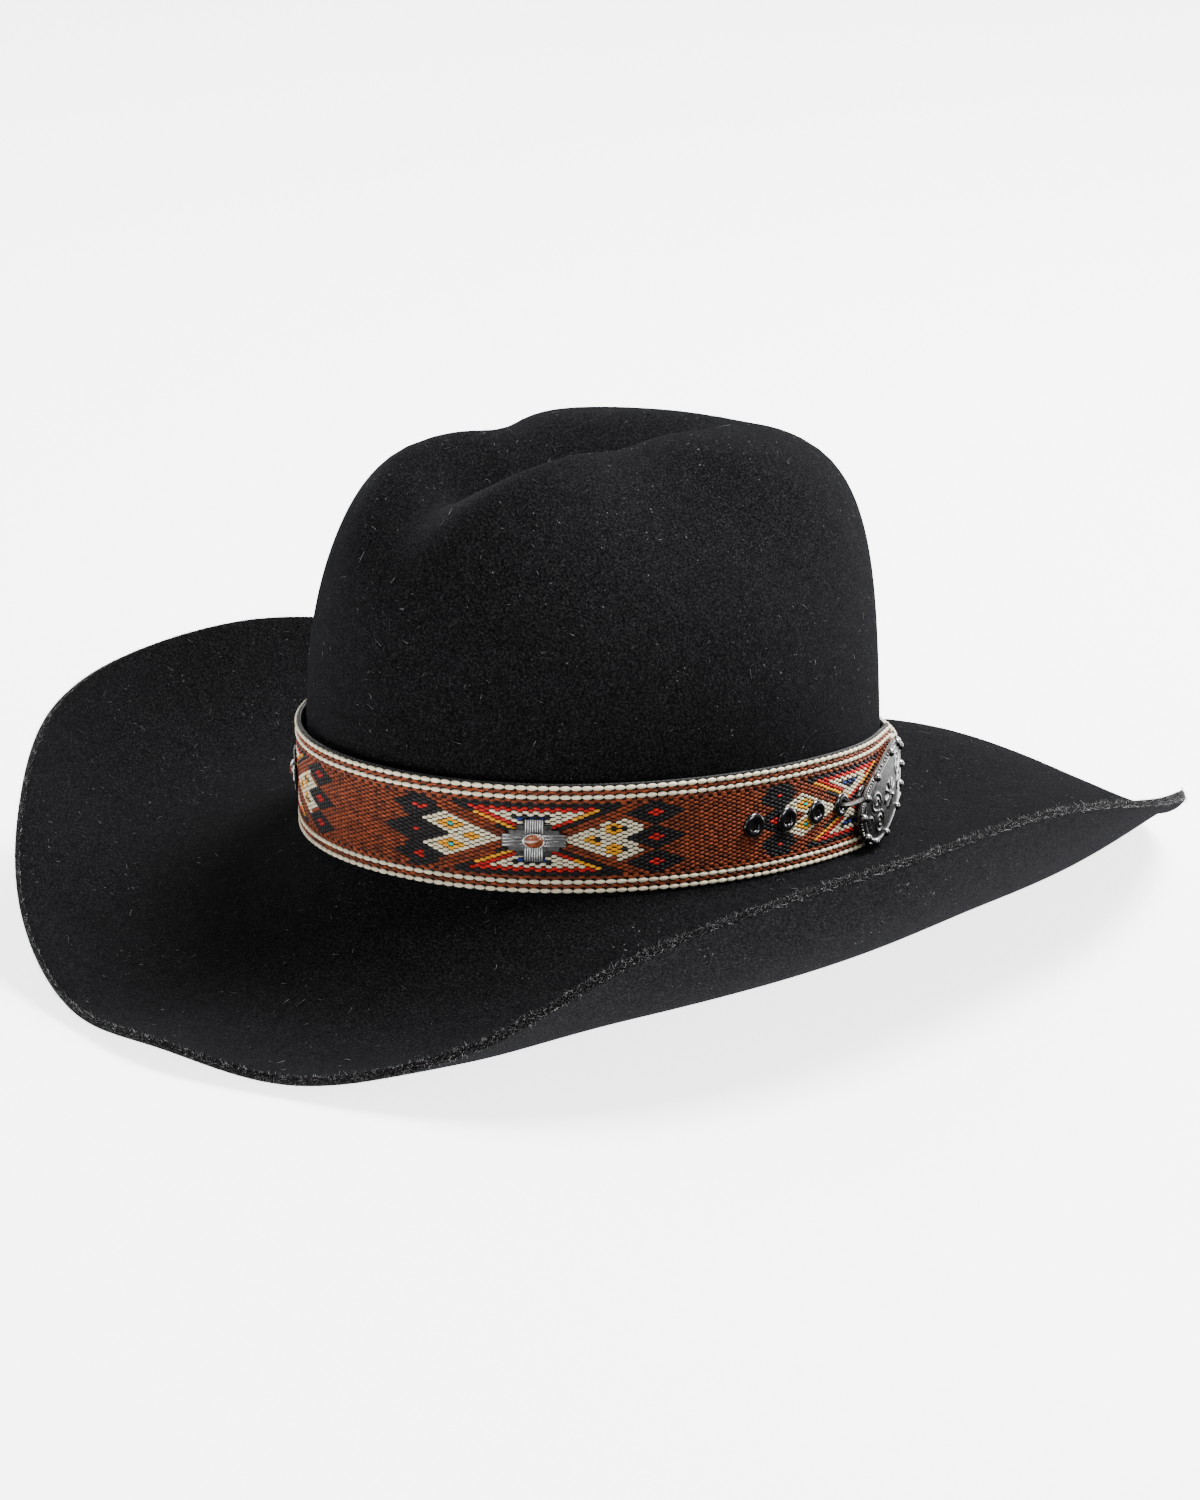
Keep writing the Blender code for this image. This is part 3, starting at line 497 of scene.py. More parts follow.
# %% Felt material
def felt_finish():
    """Felt: near-black grain times a mottle, pale lint specks, and a paler fuzz on the cut edge."""
    felt = Finish("black_wool_felt", (0.012, 0.012, 0.014), 0.92)
    felt.set("Sheen Weight", 0.035)
    felt.set("Sheen Roughness", 0.35)
    felt.set("Sheen Tint", (0.75, 0.78, 0.85, 1.0))
    felt.set("Specular IOR Level", 0.0)
    grain = felt.noise(1500.0, 3.0, 0.7)
    base = felt.ramp(grain, [(0.32, (0.0012, 0.0012, 0.0013)), (0.5, (0.0044, 0.0044, 0.0048)),
                             (0.72, (0.018, 0.018, 0.019))])
    mottle = felt.ramp(felt.noise(160.0, 4.0, 0.6), [(0.3, 0.86), (0.7, 1.12)])
    base = felt.mix(1.0, base, mottle, "MULTIPLY")
    lint = felt.ramp(felt.noise(900.0, 1.0, 0.4), [(0.735, 0.0), (0.78, 1.0)])
    patch = felt.ramp(felt.noise(55.0, 2.0, 0.5), [(0.50, 0.0), (0.62, 0.8)])
    base = felt.mix(felt.mix(1.0, lint, patch, "MULTIPLY"), base, (0.10, 0.10, 0.10))
    tips = felt.noise(2200.0, 2.0, 0.7)
    fuzz = felt.ramp(tips, [(0.50, (0.003, 0.003, 0.003)), (0.80, (0.05, 0.05, 0.05))])
    felt.colour(felt.mix(felt.value("cut"), base, fuzz))
    felt.bump(felt.noise(2400.0, 3.0, 0.75), 0.0005, 0.7)
    felt.bump(felt.noise(260.0, 3.0, 0.6), 0.0004, 0.5)
    return felt.material


dress(felt_hat, felt_finish(), "hat", "black_felt", "felt_body")

# %% [markdown]
# ## Nap and lint
# Bump alone can't show hairs that stand out of the cut edge, or lint that lies across the felt.
# Each hair is a thin three-sided strand, tapered to its tip and bent once. Thousands of copies of
# one small template are placed in a single array, with a seeded generator so they never change.

# %% Strands
dice = np.random.default_rng(11)


def make_strands(name, roots, headings, bends, lengths, radius):
    """Strands: a point at share t is root + heading * length * t + bend * length * t squared."""
    t = np.array([0.0, 0.5, 1.0])
    girth = np.array([1.0, 0.8, 0.35]) * radius
    spine = roots[:, None] + headings[:, None] * (lengths[:, None] * t)[..., None]
    spine = spine + bends[:, None] * (lengths[:, None] * t**2)[..., None]
    above = spine[..., 2].min(1) > 2 * radius
    spine, headings, bends = spine[above], headings[above], bends[above]
    side = np.cross(headings, bends + np.array([0.013, 0.021, 0.034]))
    side /= np.linalg.norm(side, axis=1, keepdims=True)
    other = np.cross(headings, side)
    ring = rings_across(side, other, 3)
    points = spine[:, :, None] + ring[:, None] * girth[None, :, None, None]
    ends = np.array([[2, 1, 0], [6, 7, 8]])
    count = len(spine)
    strands = add_mesh(name, points, copies(grid_faces(3, 3), count, 9), copies(ends, count, 9))
    point_value(strands, "tone", np.repeat(dice.random(count), 9))
    return strands


def edge_fuzz(count):
    """Hairs that stand out of the cut edge."""
    i = dice.integers(0, AROUND, count)
    share = dice.random(count)
    j = (i + 1) % AROUND
    middle = felt_middle[i, 0] * (1 - share)[:, None] + felt_middle[j, 0] * share[:, None]
    away = unit(felt_middle[i, 0] - felt_middle[i, 2])
    along = unit(felt_middle[j, 0] - felt_middle[i, 0])
    normal = felt_normal[i, 0]
    level = dice.uniform(-1.0, 1.0, count)
    roots = middle + normal * (level * FELT * 0.5)[:, None] + away * 0.0002
    heading = unit(away * dice.uniform(0.1, 1.0, (count, 1)) + normal * (level * 0.9)[:, None]
                   + along * dice.normal(0, 0.7, (count, 1)))
    bend = (along * dice.normal(0, 0.5, (count, 1)) + normal * dice.normal(0, 0.4, (count, 1)))
    return make_strands("edge_fuzz", roots, heading, bend, dice.uniform(0.0004, 0.0013, count), 0.00003)


def loose_lint(count):
    """Short hairs and lint that lie on the felt's outer side."""
    i = dice.integers(0, AROUND, count)
    k = dice.integers(1, felt_middle.shape[1] - 20, count)
    jitter = dice.random((count, 1))
    j = (i + 1) % AROUND
    base = felt_middle[i, k] * (1 - jitter) + felt_middle[j, k] * jitter
    normal = felt_normal[i, k]
    roots = base + normal * (FELT * 0.5 + 0.00002)
    loose = dice.normal(0, 1, (count, 3))
    heading = unit(loose - normal * (loose * normal).sum(1, keepdims=True) + normal * 0.12)
    loose = dice.normal(0, 1, (count, 3)) * 0.5
    bend = loose - normal * (loose * normal).sum(1, keepdims=True) - normal * 0.10
    lengths = dice.gamma(2.0, 0.0005, count) + 0.0003
    return make_strands("loose_lint", roots, heading, bend, lengths, 0.000035)


def lint_finish(name, dark, pale):
    """Hairs from dark to pale: each strand's own tone picks the shade."""
    hair = Finish(name, pale, 0.8)
    middle = tuple(0.35 * c for c in pale)
    hair.colour(hair.ramp(hair.value("tone"), [(0.0, dark), (0.6, middle), (1.0, pale)]))
    return hair.material


fuzz_finish = lint_finish("felt_fuzz", (0.02, 0.02, 0.02), (0.42, 0.42, 0.42))
dress(edge_fuzz(9000), fuzz_finish, "hat", "black_felt")
loose_finish = lint_finish("felt_lint", (0.01, 0.01, 0.012), (0.30, 0.30, 0.29))
dress(loose_lint(1500), loose_finish, "hat", "black_felt")

# %% [markdown]
# ## The strap's own frame
# Everything on the band is placed by three numbers: how far round it goes from the front centre,
# how far it stands off the crown, and how far it is above the strap's middle line. One function
# turns those into points, so beads, stitches and metalwork all follow the same curve.

# %% Round the crown
BAND_FIT, BACKING, GAP, WEAVE = 0.0006, 0.0010, 0.0003, 0.0007
BAND_HEIGHT, BAND_CLEAR = 0.0360, 0.0008
BAND_OUT = BAND_FIT + BACKING + GAP + WEAVE
TABLE_THETA = np.linspace(-pi / 2, 1.5 * pi, 2881)
TABLE_X, TABLE_Y, _, _ = oval(TABLE_THETA, BAND_OUT)
TABLE_ARC = np.r_[0.0, np.cumsum(np.hypot(np.diff(TABLE_X), np.diff(TABLE_Y)))]
ROUND = TABLE_ARC[-1]

HOOK_ARC = 0.1745
EYELET_PITCH = 0.0143
EYELET_FLANGE = 0.0041
FIRST_CONCHO = 0.0572
HINGE_ARC = HOOK_ARC + 0.0690
FOLD_ARC = HINGE_ARC + 0.0240
STRAP_FROM = FOLD_ARC + 0.0021
STRAP_TO = ROUND + STRAP_FROM + 0.0225
STRAP_END_HALF = 0.0086
STRAP_LIFT = 0.0036
CONCHO_ARCS = FIRST_CONCHO - np.arange(5) * ROUND / 5
EYELET_ARCS = ROUND + HOOK_ARC + (np.arange(6) - 3) * EYELET_PITCH


def wrap(arc, out, up):
    """Points on the band: arc from the front centre towards the wearer's left, out from the
    crown's wall, up from the strap's middle line."""
    theta = np.interp(np.mod(arc, ROUND), TABLE_ARC, TABLE_THETA)
    x, y, _, _ = oval(theta, out)
    z = around(BREAK_RISE, theta) + FELT / 2 + BAND_CLEAR + BAND_HEIGHT / 2 + up
    return settle(np.stack(np.broadcast_arrays(x, y, z), -1))


def strap_lift(arc):
    """The outer end lies flat as far as its last eyelet, then climbs over the fold."""
    start = ROUND + HOOK_ARC + 2 * EYELET_PITCH + 1.5 * EYELET_FLANGE
    return STRAP_LIFT * smooth((arc - start) / (ROUND + HINGE_ARC + 0.0120 - start))


def strap_half(arc, full):
    """Half height of the strap: narrow at both ends, full round the crown."""
    ends = smooth((arc - STRAP_FROM - 0.004) / 0.022)
    ends = ends * (1 - smooth((arc - ROUND - HINGE_ARC + 0.020) / 0.013))
    return STRAP_END_HALF + (full - STRAP_END_HALF) * ends


def seat(arc, out, up=0.0, lean=True):
    """Axes of a flat piece on the band: X along it, Y up, Z out, as a place and a 3 by 3 array."""
    place = wrap(np.array(arc), out, up)
    ahead = wrap(np.array(arc + 0.001), out, up) - wrap(np.array(arc - 0.001), out, up)
    if not lean:
        ahead[2] = 0.0
    ahead = unit(ahead)
    out_axis = unit(np.cross(ahead, [0.0, 0.0, 1.0]))
    return place, np.stack([ahead, np.cross(out_axis, ahead), out_axis])


def on_seat(points, arc, out, up=0.0, lean=True):
    """Move points given in a seat's own X, Y and Z to where that seat is."""
    place, axes = seat(arc, out, up, lean)
    return place + np.asarray(points) @ axes


print("round the band:", round(float(ROUND) * 1000, 1), "mm")

# %% [markdown]
# ## Leather backing
# The woven strip is sewn to a black leather strap that shows as a dark line along both edges. Its
# section, a rectangle with round corners, is carried along the band, and both ends are closed.


# %% Strap bodies
def strap_body(name, inner, thickness, full, trim=0.0):
    """A rounded rectangle, half height by thickness, carried along the strap's arc."""
    arcs = np.linspace(STRAP_FROM + trim, STRAP_TO - trim, 420)
    half = strap_half(arcs, full)[:, None]
    turn_angle = full_turn(20)
    wide = np.sign(np.cos(turn_angle)) * np.abs(np.cos(turn_angle)) ** 0.22
    deep = np.sign(np.sin(turn_angle)) * np.abs(np.sin(turn_angle)) ** 0.55
    up = wide[None] * half
    out = inner + strap_lift(arcs)[:, None] + thickness * 0.5 * (1 + deep[None])
    points = wrap(np.broadcast_to(arcs[:, None], up.shape), out, up)
    count = len(arcs)
    last = (count - 1) * 20
    caps = np.array([np.arange(20)[::-1], last + np.arange(20)])
    strap = add_mesh(name, points, grid_faces(count, 20), caps)
    return outward(strap)


def leather_finish(name, colour, scale=420.0, rough=0.5):
    """Leather: a pebbled grain of cells over a slow change from dark to light."""
    leather = Finish(name, colour, rough)
    light = tuple(min(1.0, 1.5 * c + 0.004) for c in colour)
    dark = tuple(0.6 * c for c in colour)
    cells = leather.ramp(leather.cells(scale, "DISTANCE_TO_EDGE"), [(0.0, 0.0), (0.12, 1.0)])
    tone = leather.ramp(leather.noise(120.0, 4.0, 0.6), [(0.3, dark), (0.7, light)])
    leather.colour(leather.mix(cells, dark, tone))
    leather.rough(leather.ramp(leather.noise(300.0, 3.0, 0.6), [(0.3, rough - 0.1), (0.7, rough + 0.2)]))
    leather.bump(cells, 0.00012, 0.6)
    leather.bump(leather.noise(1800.0, 2.0, 0.5), 0.00005, 0.5)
    return leather.material


backing = strap_body("strap_backing", BAND_FIT, BACKING, BAND_HEIGHT / 2)
dress(backing, leather_finish("black_strap_leather", (0.012, 0.011, 0.010)), "hatband", "black_leather",
      "band_backing")

# %% [markdown]
# ## The weaving
# The strip is warp faced: each thread floats over one weft and dives under the next, and its
# neighbours do the opposite, so the face is a brick pattern of small leaf-shaped beads. A plain
# image of that would go flat at the edges, so every float is real: one small closed template is
# copied to each crossing, and the colour of each float comes from where it lies in the motif.

# %% The lattice of floats
ROW_PITCH = 0.000678
FLOAT_PITCH = 0.00347
FIELD_ROWS = 17
CORDS = [0.01685, 0.01395]
CORD_GROUND = [0.01565, 0.01515, 0.01275, 0.01225]
EYELET_COVERS = 0.0034


def lattice():
    """Places of the floats: rows ROW_PITCH apart, floats FLOAT_PITCH apart, odd rows half a
    pitch along."""
    columns = np.arange(int((STRAP_TO - STRAP_FROM - 0.004) / FLOAT_PITCH))
    rows = np.arange(-FIELD_ROWS, FIELD_ROWS + 1)
    up, along = np.meshgrid(rows * ROW_PITCH, columns * FLOAT_PITCH, indexing="ij")
    arc = STRAP_FROM + 0.0030 + along + (rows % 2)[:, None] * FLOAT_PITCH / 2
    lean = np.where(rows % 2 == 0, 1.0, -1.0)[:, None] * np.ones_like(up)
    arcs, ups, leans = [arc.ravel()], [up.ravel()], [lean.ravel()]
    for level in CORD_GROUND:
        for side in (-1, 1):
            half = FLOAT_PITCH / 2 * (level in CORD_GROUND[1::2])
            arcs.append(STRAP_FROM + 0.0030 + columns * FLOAT_PITCH + half)
            ups.append(np.full(len(columns), side * level))
            leans.append(np.full(len(columns), 1.0 if half else -1.0))
    return np.concatenate(arcs), np.concatenate(ups), np.concatenate(leans)


# %% [markdown]
# The motif is drawn with straight edges only: an arrow of two lobes pointing at each cross, three
# stacked diamonds behind it, and banded trapezoids above and below the cross. It repeats five
# times, mirrored about each cross, so one function of distance and height colours the whole strip.


# %% The motif
BROWN, CREAM, BLACK, RED, GOLD, BLUE, TURQUOISE = range(7)


def motif(arc, up):
    """Colour number of each float, from its distance along the strap to the nearest cross and its
    height, both in millimetres. Later lines cover earlier ones."""
    offset = np.mod(arc - FIRST_CONCHO + ROUND / 10, ROUND / 5) - ROUND / 10
    a, v = np.abs(offset) * 1000, np.abs(up) * 1000
    colour = np.full(a.shape, BROWN)
    gold_line = 3.36 + 0.435 * (a - 6.2)
    wedge = (v < gold_line - 0.5) & (v > gold_line - 1.5)
    colour[wedge & (a < 25)] = BLACK
    colour[(v > 10.3) & (v < 11.8) & (a < 28.5 - 2 * (v - 10.3))] = BLACK
    colour[(v > gold_line + 0.4) & (v < 10.3) & (a < 21.0)] = RED
    colour[(v > gold_line + 1.7) & (v < 8.9)] = CREAM
    colour[(v > gold_line + 3.6) & (v < 7.6)] = BLACK
    colour[(np.abs(v - 6.9) < 0.5) & (a < 4.6)] = BLUE
    colour[(np.abs(v - gold_line) < 0.5) & (a < 21.5)] = GOLD
    colour[(a > 21.5) & (v < 10.5) & (v > gold_line - 1.5) & (v > 10.3 - 0.4 * (28 - a))] = BLACK
    for middle, height, long, tall in ((38.6, 8.1, 9.8, 4.5), (39.0, 0.0, 10.8, 4.5)):
        inside = np.abs(a - middle) / long + np.abs(v - height) / tall
        colour[inside < 1] = BLACK
        colour[np.abs(a - middle) / 3.1 + np.abs(v - height) / 1.25 < 1] = RED
    arrow = (v < 0.383 * (a - 9.3)) & (v > 0.46 * (a - 28.0)) & (v < 7.5 - 0.47 * (a - 28.6))
    colour[arrow] = CREAM
    lobe = np.abs(a - 26.4) / 4.4 + np.abs(v - 3.35) / 2.15
    colour[lobe < 1] = GOLD
    colour[(lobe < 1) & (np.abs(np.abs(a - 26.4) - 1.75) < 0.6) & (np.abs(v - 3.35) < 0.3)] = BLACK
    colour[(np.abs(a - 26.4) < 0.9) & (np.abs(v - 3.39) < 0.34)] = TURQUOISE
    small = np.abs(a - 19.6) / 3.4 + v / 1.6
    colour[small < 1] = GOLD
    colour[(np.abs(a - 19.6) < 0.9) & (v < 0.3)] = BLACK
    colour[v > 12.0] = BROWN
    return colour


# %% Floats as geometry
def float_template():
    """A closed leaf: five stations along X whose radius is the square root of 1 - x squared,
    blunted, with six points round each and a pole at both ends."""
    x = np.array([-0.78, -0.30, 0.30, 0.78])
    radius = (1 - np.abs(x) ** 2.2) ** 0.6
    turn_angle = full_turn(6)
    ring = np.stack([
        np.broadcast_to(x[:, None], (4, 6)),
        radius[:, None] * np.cos(turn_angle),
        radius[:, None] * np.sin(turn_angle),
    ], -1).reshape(-1, 3)
    points = np.concatenate([ring, [[-1.0, 0.0, 0.0], [1.0, 0.0, 0.0]]])
    return points, grid_faces(4, 6), end_fans(4, 6)


def make_floats(name, arcs, ups, leans, half_size, out, slant=0.16):
    """Copies of the template: scaled, slanted a little, then wrapped round the crown."""
    template, quads, caps = float_template()
    long, tall, deep = half_size
    dx = template[None, :, 0] * long
    dy = template[None, :, 1] * tall + slant * leans[:, None] * dx * 0.5
    dz = template[None, :, 2] * deep
    arc = arcs[:, None] + dx
    up = ups[:, None] + dy
    points = wrap(arc, out + strap_lift(arcs)[:, None] + dz, up)
    count, size = len(arcs), len(template)
    floats = add_mesh(name, points, copies(quads, count, size), copies(caps, count, size))
    point_value(floats, "tone", np.repeat(dice.random(count), size))
    return floats


def yarn_finish(name, colour, spread=0.25, rough=0.5):
    """Twisted waxed thread: a slightly different shade on each float and fine slanted strands."""
    yarn = Finish(name, colour, rough)
    yarn.set("Specular IOR Level", 0.25)
    low = tuple(c * (1 - spread) for c in colour)
    high = tuple(min(1.0, c * (1 + spread)) for c in colour)
    tone = yarn.ramp(yarn.value("tone"), [(0.0, low), (1.0, high)])
    strands = yarn.noise(2600.0, 2.0, 0.6)
    yarn.colour(yarn.mix(1.0, tone, yarn.ramp(strands, [(0.3, 0.72), (0.7, 1.12)]), "MULTIPLY"))
    yarn.bump(strands, 0.00012, 0.7)
    return yarn.material


YARNS = {
    BROWN: yarn_finish("rust_yarn", (0.190, 0.034, 0.009), 0.5),
    CREAM: yarn_finish("cream_yarn", (0.78, 0.70, 0.50), 0.08, 0.6),
    BLACK: yarn_finish("black_yarn", (0.008, 0.008, 0.009), 0.4),
    RED: yarn_finish("red_yarn", (0.46, 0.008, 0.007), 0.3),
    GOLD: yarn_finish("gold_yarn", (0.80, 0.34, 0.010), 0.18),
    BLUE: yarn_finish("blue_yarn", (0.012, 0.028, 0.22), 0.2),
    TURQUOISE: yarn_finish("turquoise_yarn", (0.010, 0.42, 0.38), 0.1),
}


def hidden(arcs, ups):
    """Floats that lie inside an eyelet's flange."""
    covered = np.zeros(len(arcs), bool)
    for middle in EYELET_ARCS:
        covered |= np.hypot(arcs - middle, ups) < EYELET_COVERS
    return covered


arcs, ups, leans = lattice()
arcs = arcs + dice.normal(0, 0.00007, len(arcs))
ups = ups + dice.normal(0, 0.00003, len(ups))
colours = motif(arcs, ups)
room = strap_half(arcs, BAND_HEIGHT / 2 - 0.0007) > np.abs(ups) + 0.0004
keep = room & ~hidden(arcs, ups) & (arcs < STRAP_TO - 0.003)
print("floats:", int(keep.sum()))

ground_half = BAND_HEIGHT / 2 - 0.0009
ground = strap_body("weave_ground", BAND_FIT + BACKING + 0.0001, WEAVE - 0.0002, ground_half, 0.0012)
ground_yarn = yarn_finish("weft_yarn", (0.008, 0.004, 0.003), 0.4, 0.8)
point_value(ground, "tone", dice.random(len(ground.data.vertices)))
dress(ground, ground_yarn, "hatband", "woven_yarn", "band_weave")
FLOAT_SIZE = (0.00106, 0.00055, 0.00044)
NAMES = ["rust", "cream", "black", "red", "gold", "blue", "turquoise"]
for number, title in enumerate(NAMES):
    chosen = keep & (colours == number)
    floats = make_floats(f"floats_{title}", arcs[chosen], ups[chosen], leans[chosen], FLOAT_SIZE,
                         BAND_OUT - 0.00028)
    dress(floats, YARNS[number], "hatband", "woven_yarn")


# %% Edge cords
def make_cords():
    """Four cream cords: chains of fat floats, one pitch apart."""
    columns = np.arange(int((STRAP_TO - STRAP_FROM - 0.005) / FLOAT_PITCH))
    arc = np.tile(STRAP_FROM + 0.0035 + columns * FLOAT_PITCH, 2 * len(CORDS))
    full = BAND_HEIGHT / 2
    share = strap_half(arc, full) / full
    up = np.concatenate([np.full(len(columns), s * level) for level in CORDS for s in (-1, 1)]) * share
    lean = np.zeros(len(arc))
    size = (0.00180, 0.00082, 0.00062)
    cords = make_floats("cream_cords", arc, up, lean, size, BAND_OUT - 0.00022)
    dress(cords, YARNS[CREAM], "hatband", "woven_yarn")
    arc = STRAP_FROM + 0.002 + np.arange(2 * len(columns)) * FLOAT_PITCH / 2
    share = strap_half(arc, full)
    both = np.concatenate([arc, arc])
    up = np.concatenate([share - 0.00035, 0.00035 - share])
    size = (0.00105, 0.00050, 0.00060)
    stitches = make_floats("edge_stitches", both, up, np.ones(len(both)), size, BAND_FIT + 0.0009, 0.5)
    dress(stitches, YARNS[BLACK], "hatband", "woven_yarn")


make_cords()

# %% [markdown]
# ## Crosses
# Each cross is a small casting: a stepped plate whose long arms carry four raised bars and whose
# short arms carry fine ribs, with an oval stone in a thin collar. Slabs and rounded bars are laid
# out flat in millimetres, and the whole casting is then moved and turned to its place on the strap.


# %% Building blocks for castings
def slabs(boxes, bevel):
    """Boxes with a sloped top edge: a ring at the foot, one under the bevel and one on top."""
    x0, x1, y0, y1, z0, z1 = np.array(boxes, dtype=float).T[:, :, None]
    sx = np.array([0, 1, 1, 0])[None]
    sy = np.array([0, 0, 1, 1])[None]
    rings = []
    for inset, level in ((0.0, z0), (0.0, z1 - bevel), (bevel, z1)):
        x = x0 + inset + (x1 - x0 - 2 * inset) * sx
        y = y0 + inset + (y1 - y0 - 2 * inset) * sy
        rings.append(np.stack([x, y, np.broadcast_to(level, x.shape)], -1))
    points = np.stack(rings, 1).reshape(len(boxes), 12, 3)
    quads = np.concatenate([grid_faces(3, 4), [[3, 2, 1, 0], [8, 9, 10, 11]]])
    return points, quads


def capsules(starts, ends, radius, sides=8):
    """Rounded bars: rings across each line whose radius follows a half circle at both ends."""
    starts, ends = np.asarray(starts, float), np.asarray(ends, float)
    angle = np.radians([-75, -40, 0, 0, 40, 75])
    reach = np.array([0, 0, 0, 1, 1, 1])
    along = unit(ends - starts)
    side = unit(np.cross(along, [0.0, 0.0, 1.0]) + 1e-9)
    other = np.cross(along, side)
    spine = starts[:, None] + (ends - starts)[:, None] * reach[None, :, None]
    spine = spine + along[:, None] * (radius * np.sin(angle))[None, :, None]
    ring = rings_across(side, other, sides)
    points = spine[:, :, None] + ring[:, None] * (radius * np.cos(angle))[None, :, None, None]
    points = points.reshape(len(starts), 6 * sides, 3)
    quads = grid_faces(6, sides)
    caps = np.array([np.arange(sides)[::-1], 5 * sides + np.arange(sides)])
    return points, quads, caps


def spun(profile, long=1.0, tall=1.0, sides=48):
    """A profile of radius and height spun about Z into ovals; both its ends lie on the axis."""
    turn_angle = full_turn(sides)
    radius, height = np.array(profile, dtype=float).T
    inner = slice(1, -1)
    x = radius[inner, None] * np.cos(turn_angle)[None] * long
    y = radius[inner, None] * np.sin(turn_angle)[None] * tall
    z = np.broadcast_to(height[inner, None], x.shape)
    points = np.stack([x, y, z], -1).reshape(-1, 3)
    points = np.concatenate([points, [[0, 0, height[0]], [0, 0, height[-1]]]])
    rows = len(profile) - 2
    return points, grid_faces(rows, sides), end_fans(rows, sides)


# %% Metal finishes
def aged_silver(name, shade=1.0):
    """Cast silver, dark in its hollows and rubbed bright where it stands out. On round knobs the same value
    is painted light: a painted highlight on top and painted shade below.
    """
    metal = Finish(name, (0.62, 0.60, 0.56), 0.3, 1.0)
    worn_and_top_lit = metal.math("ADD", metal.value("relief_and_top_light"), metal.math("MULTIPLY", metal.noise(900.0, 3.0, 0.6), 0.5))
    levels = [(0.25, 0.006), (0.6, 0.074), (0.95, 0.39), (1.0, 0.54)]
    metal.colour(metal.ramp(worn_and_top_lit, [(place, (shade * grey,) * 3) for place, grey in levels]))
    metal.rough(metal.ramp(worn_and_top_lit, [(0.3, 0.62), (1.0, 0.24)]))
    metal.bump(metal.noise(1300.0, 3.0, 0.6), 0.00006, 0.6)
    return metal.material


SILVER = aged_silver("aged_silver_cast")
# The buckle's finish is the same aged silver with every grey scaled down: painted shade.
SILVER_PAINTED_SHADE = aged_silver("aged_silver_painted_shade", 0.55)

# %% Cross plates
MM = 0.001
STONE_HALF = (3.25, 2.4)


def cross_parts():
    """The cross in millimetres: stepped slabs, bars along the long arms, ribs on the short."""
    boxes = [(-10.0, 10.0, -2.2, 2.2, 0.0, 0.75), (-8.0, 8.0, -3.5, 3.5, 0.0, 0.68),
             (-5.6, 5.6, -5.2, 5.2, 0.0, 0.62), (-3.1, 3.1, -7.0, 7.0, 0.0, 0.70)]
    solid, solid_faces = slabs(boxes, 0.14)
    starts, ends = [], []
    for y in (-1.62, -0.54, 0.54, 1.62):
        for side in (-1, 1):
            starts.append((side * 3.0, y, 0.72))
            ends.append((side * 9.6, y, 0.72))
    bars, bar_faces, bar_caps = capsules(starts, ends, 0.36)
    starts, ends = [], []
    for x in np.linspace(-2.6, 2.6, 8):
        for side in (-1, 1):
            starts.append((x, side * 2.4, 0.66))
            ends.append((x, side * 6.7, 0.66))
    ribs, _, _ = capsules(starts, ends, 0.24)
    rods = np.concatenate([bars, ribs])
    points = np.concatenate([solid.reshape(-1, 3), rods.reshape(-1, 3)])
    first, size, count = solid.shape[0] * 12, rods.shape[1], len(rods)
    quads = np.concatenate([copies(solid_faces, len(solid), 12), copies(bar_faces, count, size) + first])
    return points, quads, copies(bar_caps, count, size) + first


def make_cross(number, arc):
    """One casting on the strap: its plate, the collar and the stone's half-round dome."""
    foot = BAND_OUT + 0.0001
    points, quads, caps = cross_parts()
    relief_and_top_light = np.clip((points[:, 2] - 0.55) / 0.5, 0, 1)
    plate = outward(add_mesh(f"cross_{number}_plate", on_seat(points * MM, arc, foot), quads, caps))
    plate.data.set_sharp_from_angle(angle=radians(35))
    point_value(plate, "relief_and_top_light", relief_and_top_light)
    dress(plate, SILVER, "hatband", "aged_silver", f"concho_{number}_plate")
    collar = [(0.0, 0.7), (0.98, 0.7), (1.08, 1.0), (1.09, 1.45), (1.04, 1.66), (0.96, 1.62),
              (0.93, 1.45), (0.0, 1.3)]
    points, quads, caps = spun(collar, *STONE_HALF)
    ring = outward(add_mesh(f"cross_{number}_collar", on_seat(points * MM, arc, foot), quads, caps))
    point_value(ring, "relief_and_top_light", np.clip((points[:, 2] - 0.9) / 0.6, 0, 1))
    dress(ring, SILVER, "hatband", "aged_silver", f"concho_{number}_bezel")
    rise = np.radians(np.arange(0, 90, 10))
    dome = [(0.0, 0.9), (0.93, 0.9)] + [(0.93 * np.cos(a), 1.4 + 1.25 * np.sin(a)) for a in rise]
    points, quads, caps = spun(dome + [(0.0, 2.65)], *STONE_HALF)
    stone = outward(add_mesh(f"cross_{number}_stone", on_seat(points * MM, arc, foot), quads, caps))
    dress(stone, STONE, "hatband", "brown_stone", f"concho_{number}_stone")


def stone_finish():
    """Polished brown stone with darker and paler veins under a clear coat."""
    stone = Finish("brown_jasper", (0.16, 0.045, 0.018), 0.12)
    stone.set("Coat Weight", 0.8)
    stone.set("Coat Roughness", 0.04)
    veins = stone.noise(420.0, 5.0, 0.7)
    stone.colour(stone.ramp(veins, [(0.3, (0.075, 0.018, 0.008)), (0.5, (0.20, 0.055, 0.022)),
                                    (0.75, (0.34, 0.13, 0.06))]))
    return stone.material


STONE = stone_finish()
for number in range(4):
    make_cross(number + 1, CONCHO_ARCS[number])
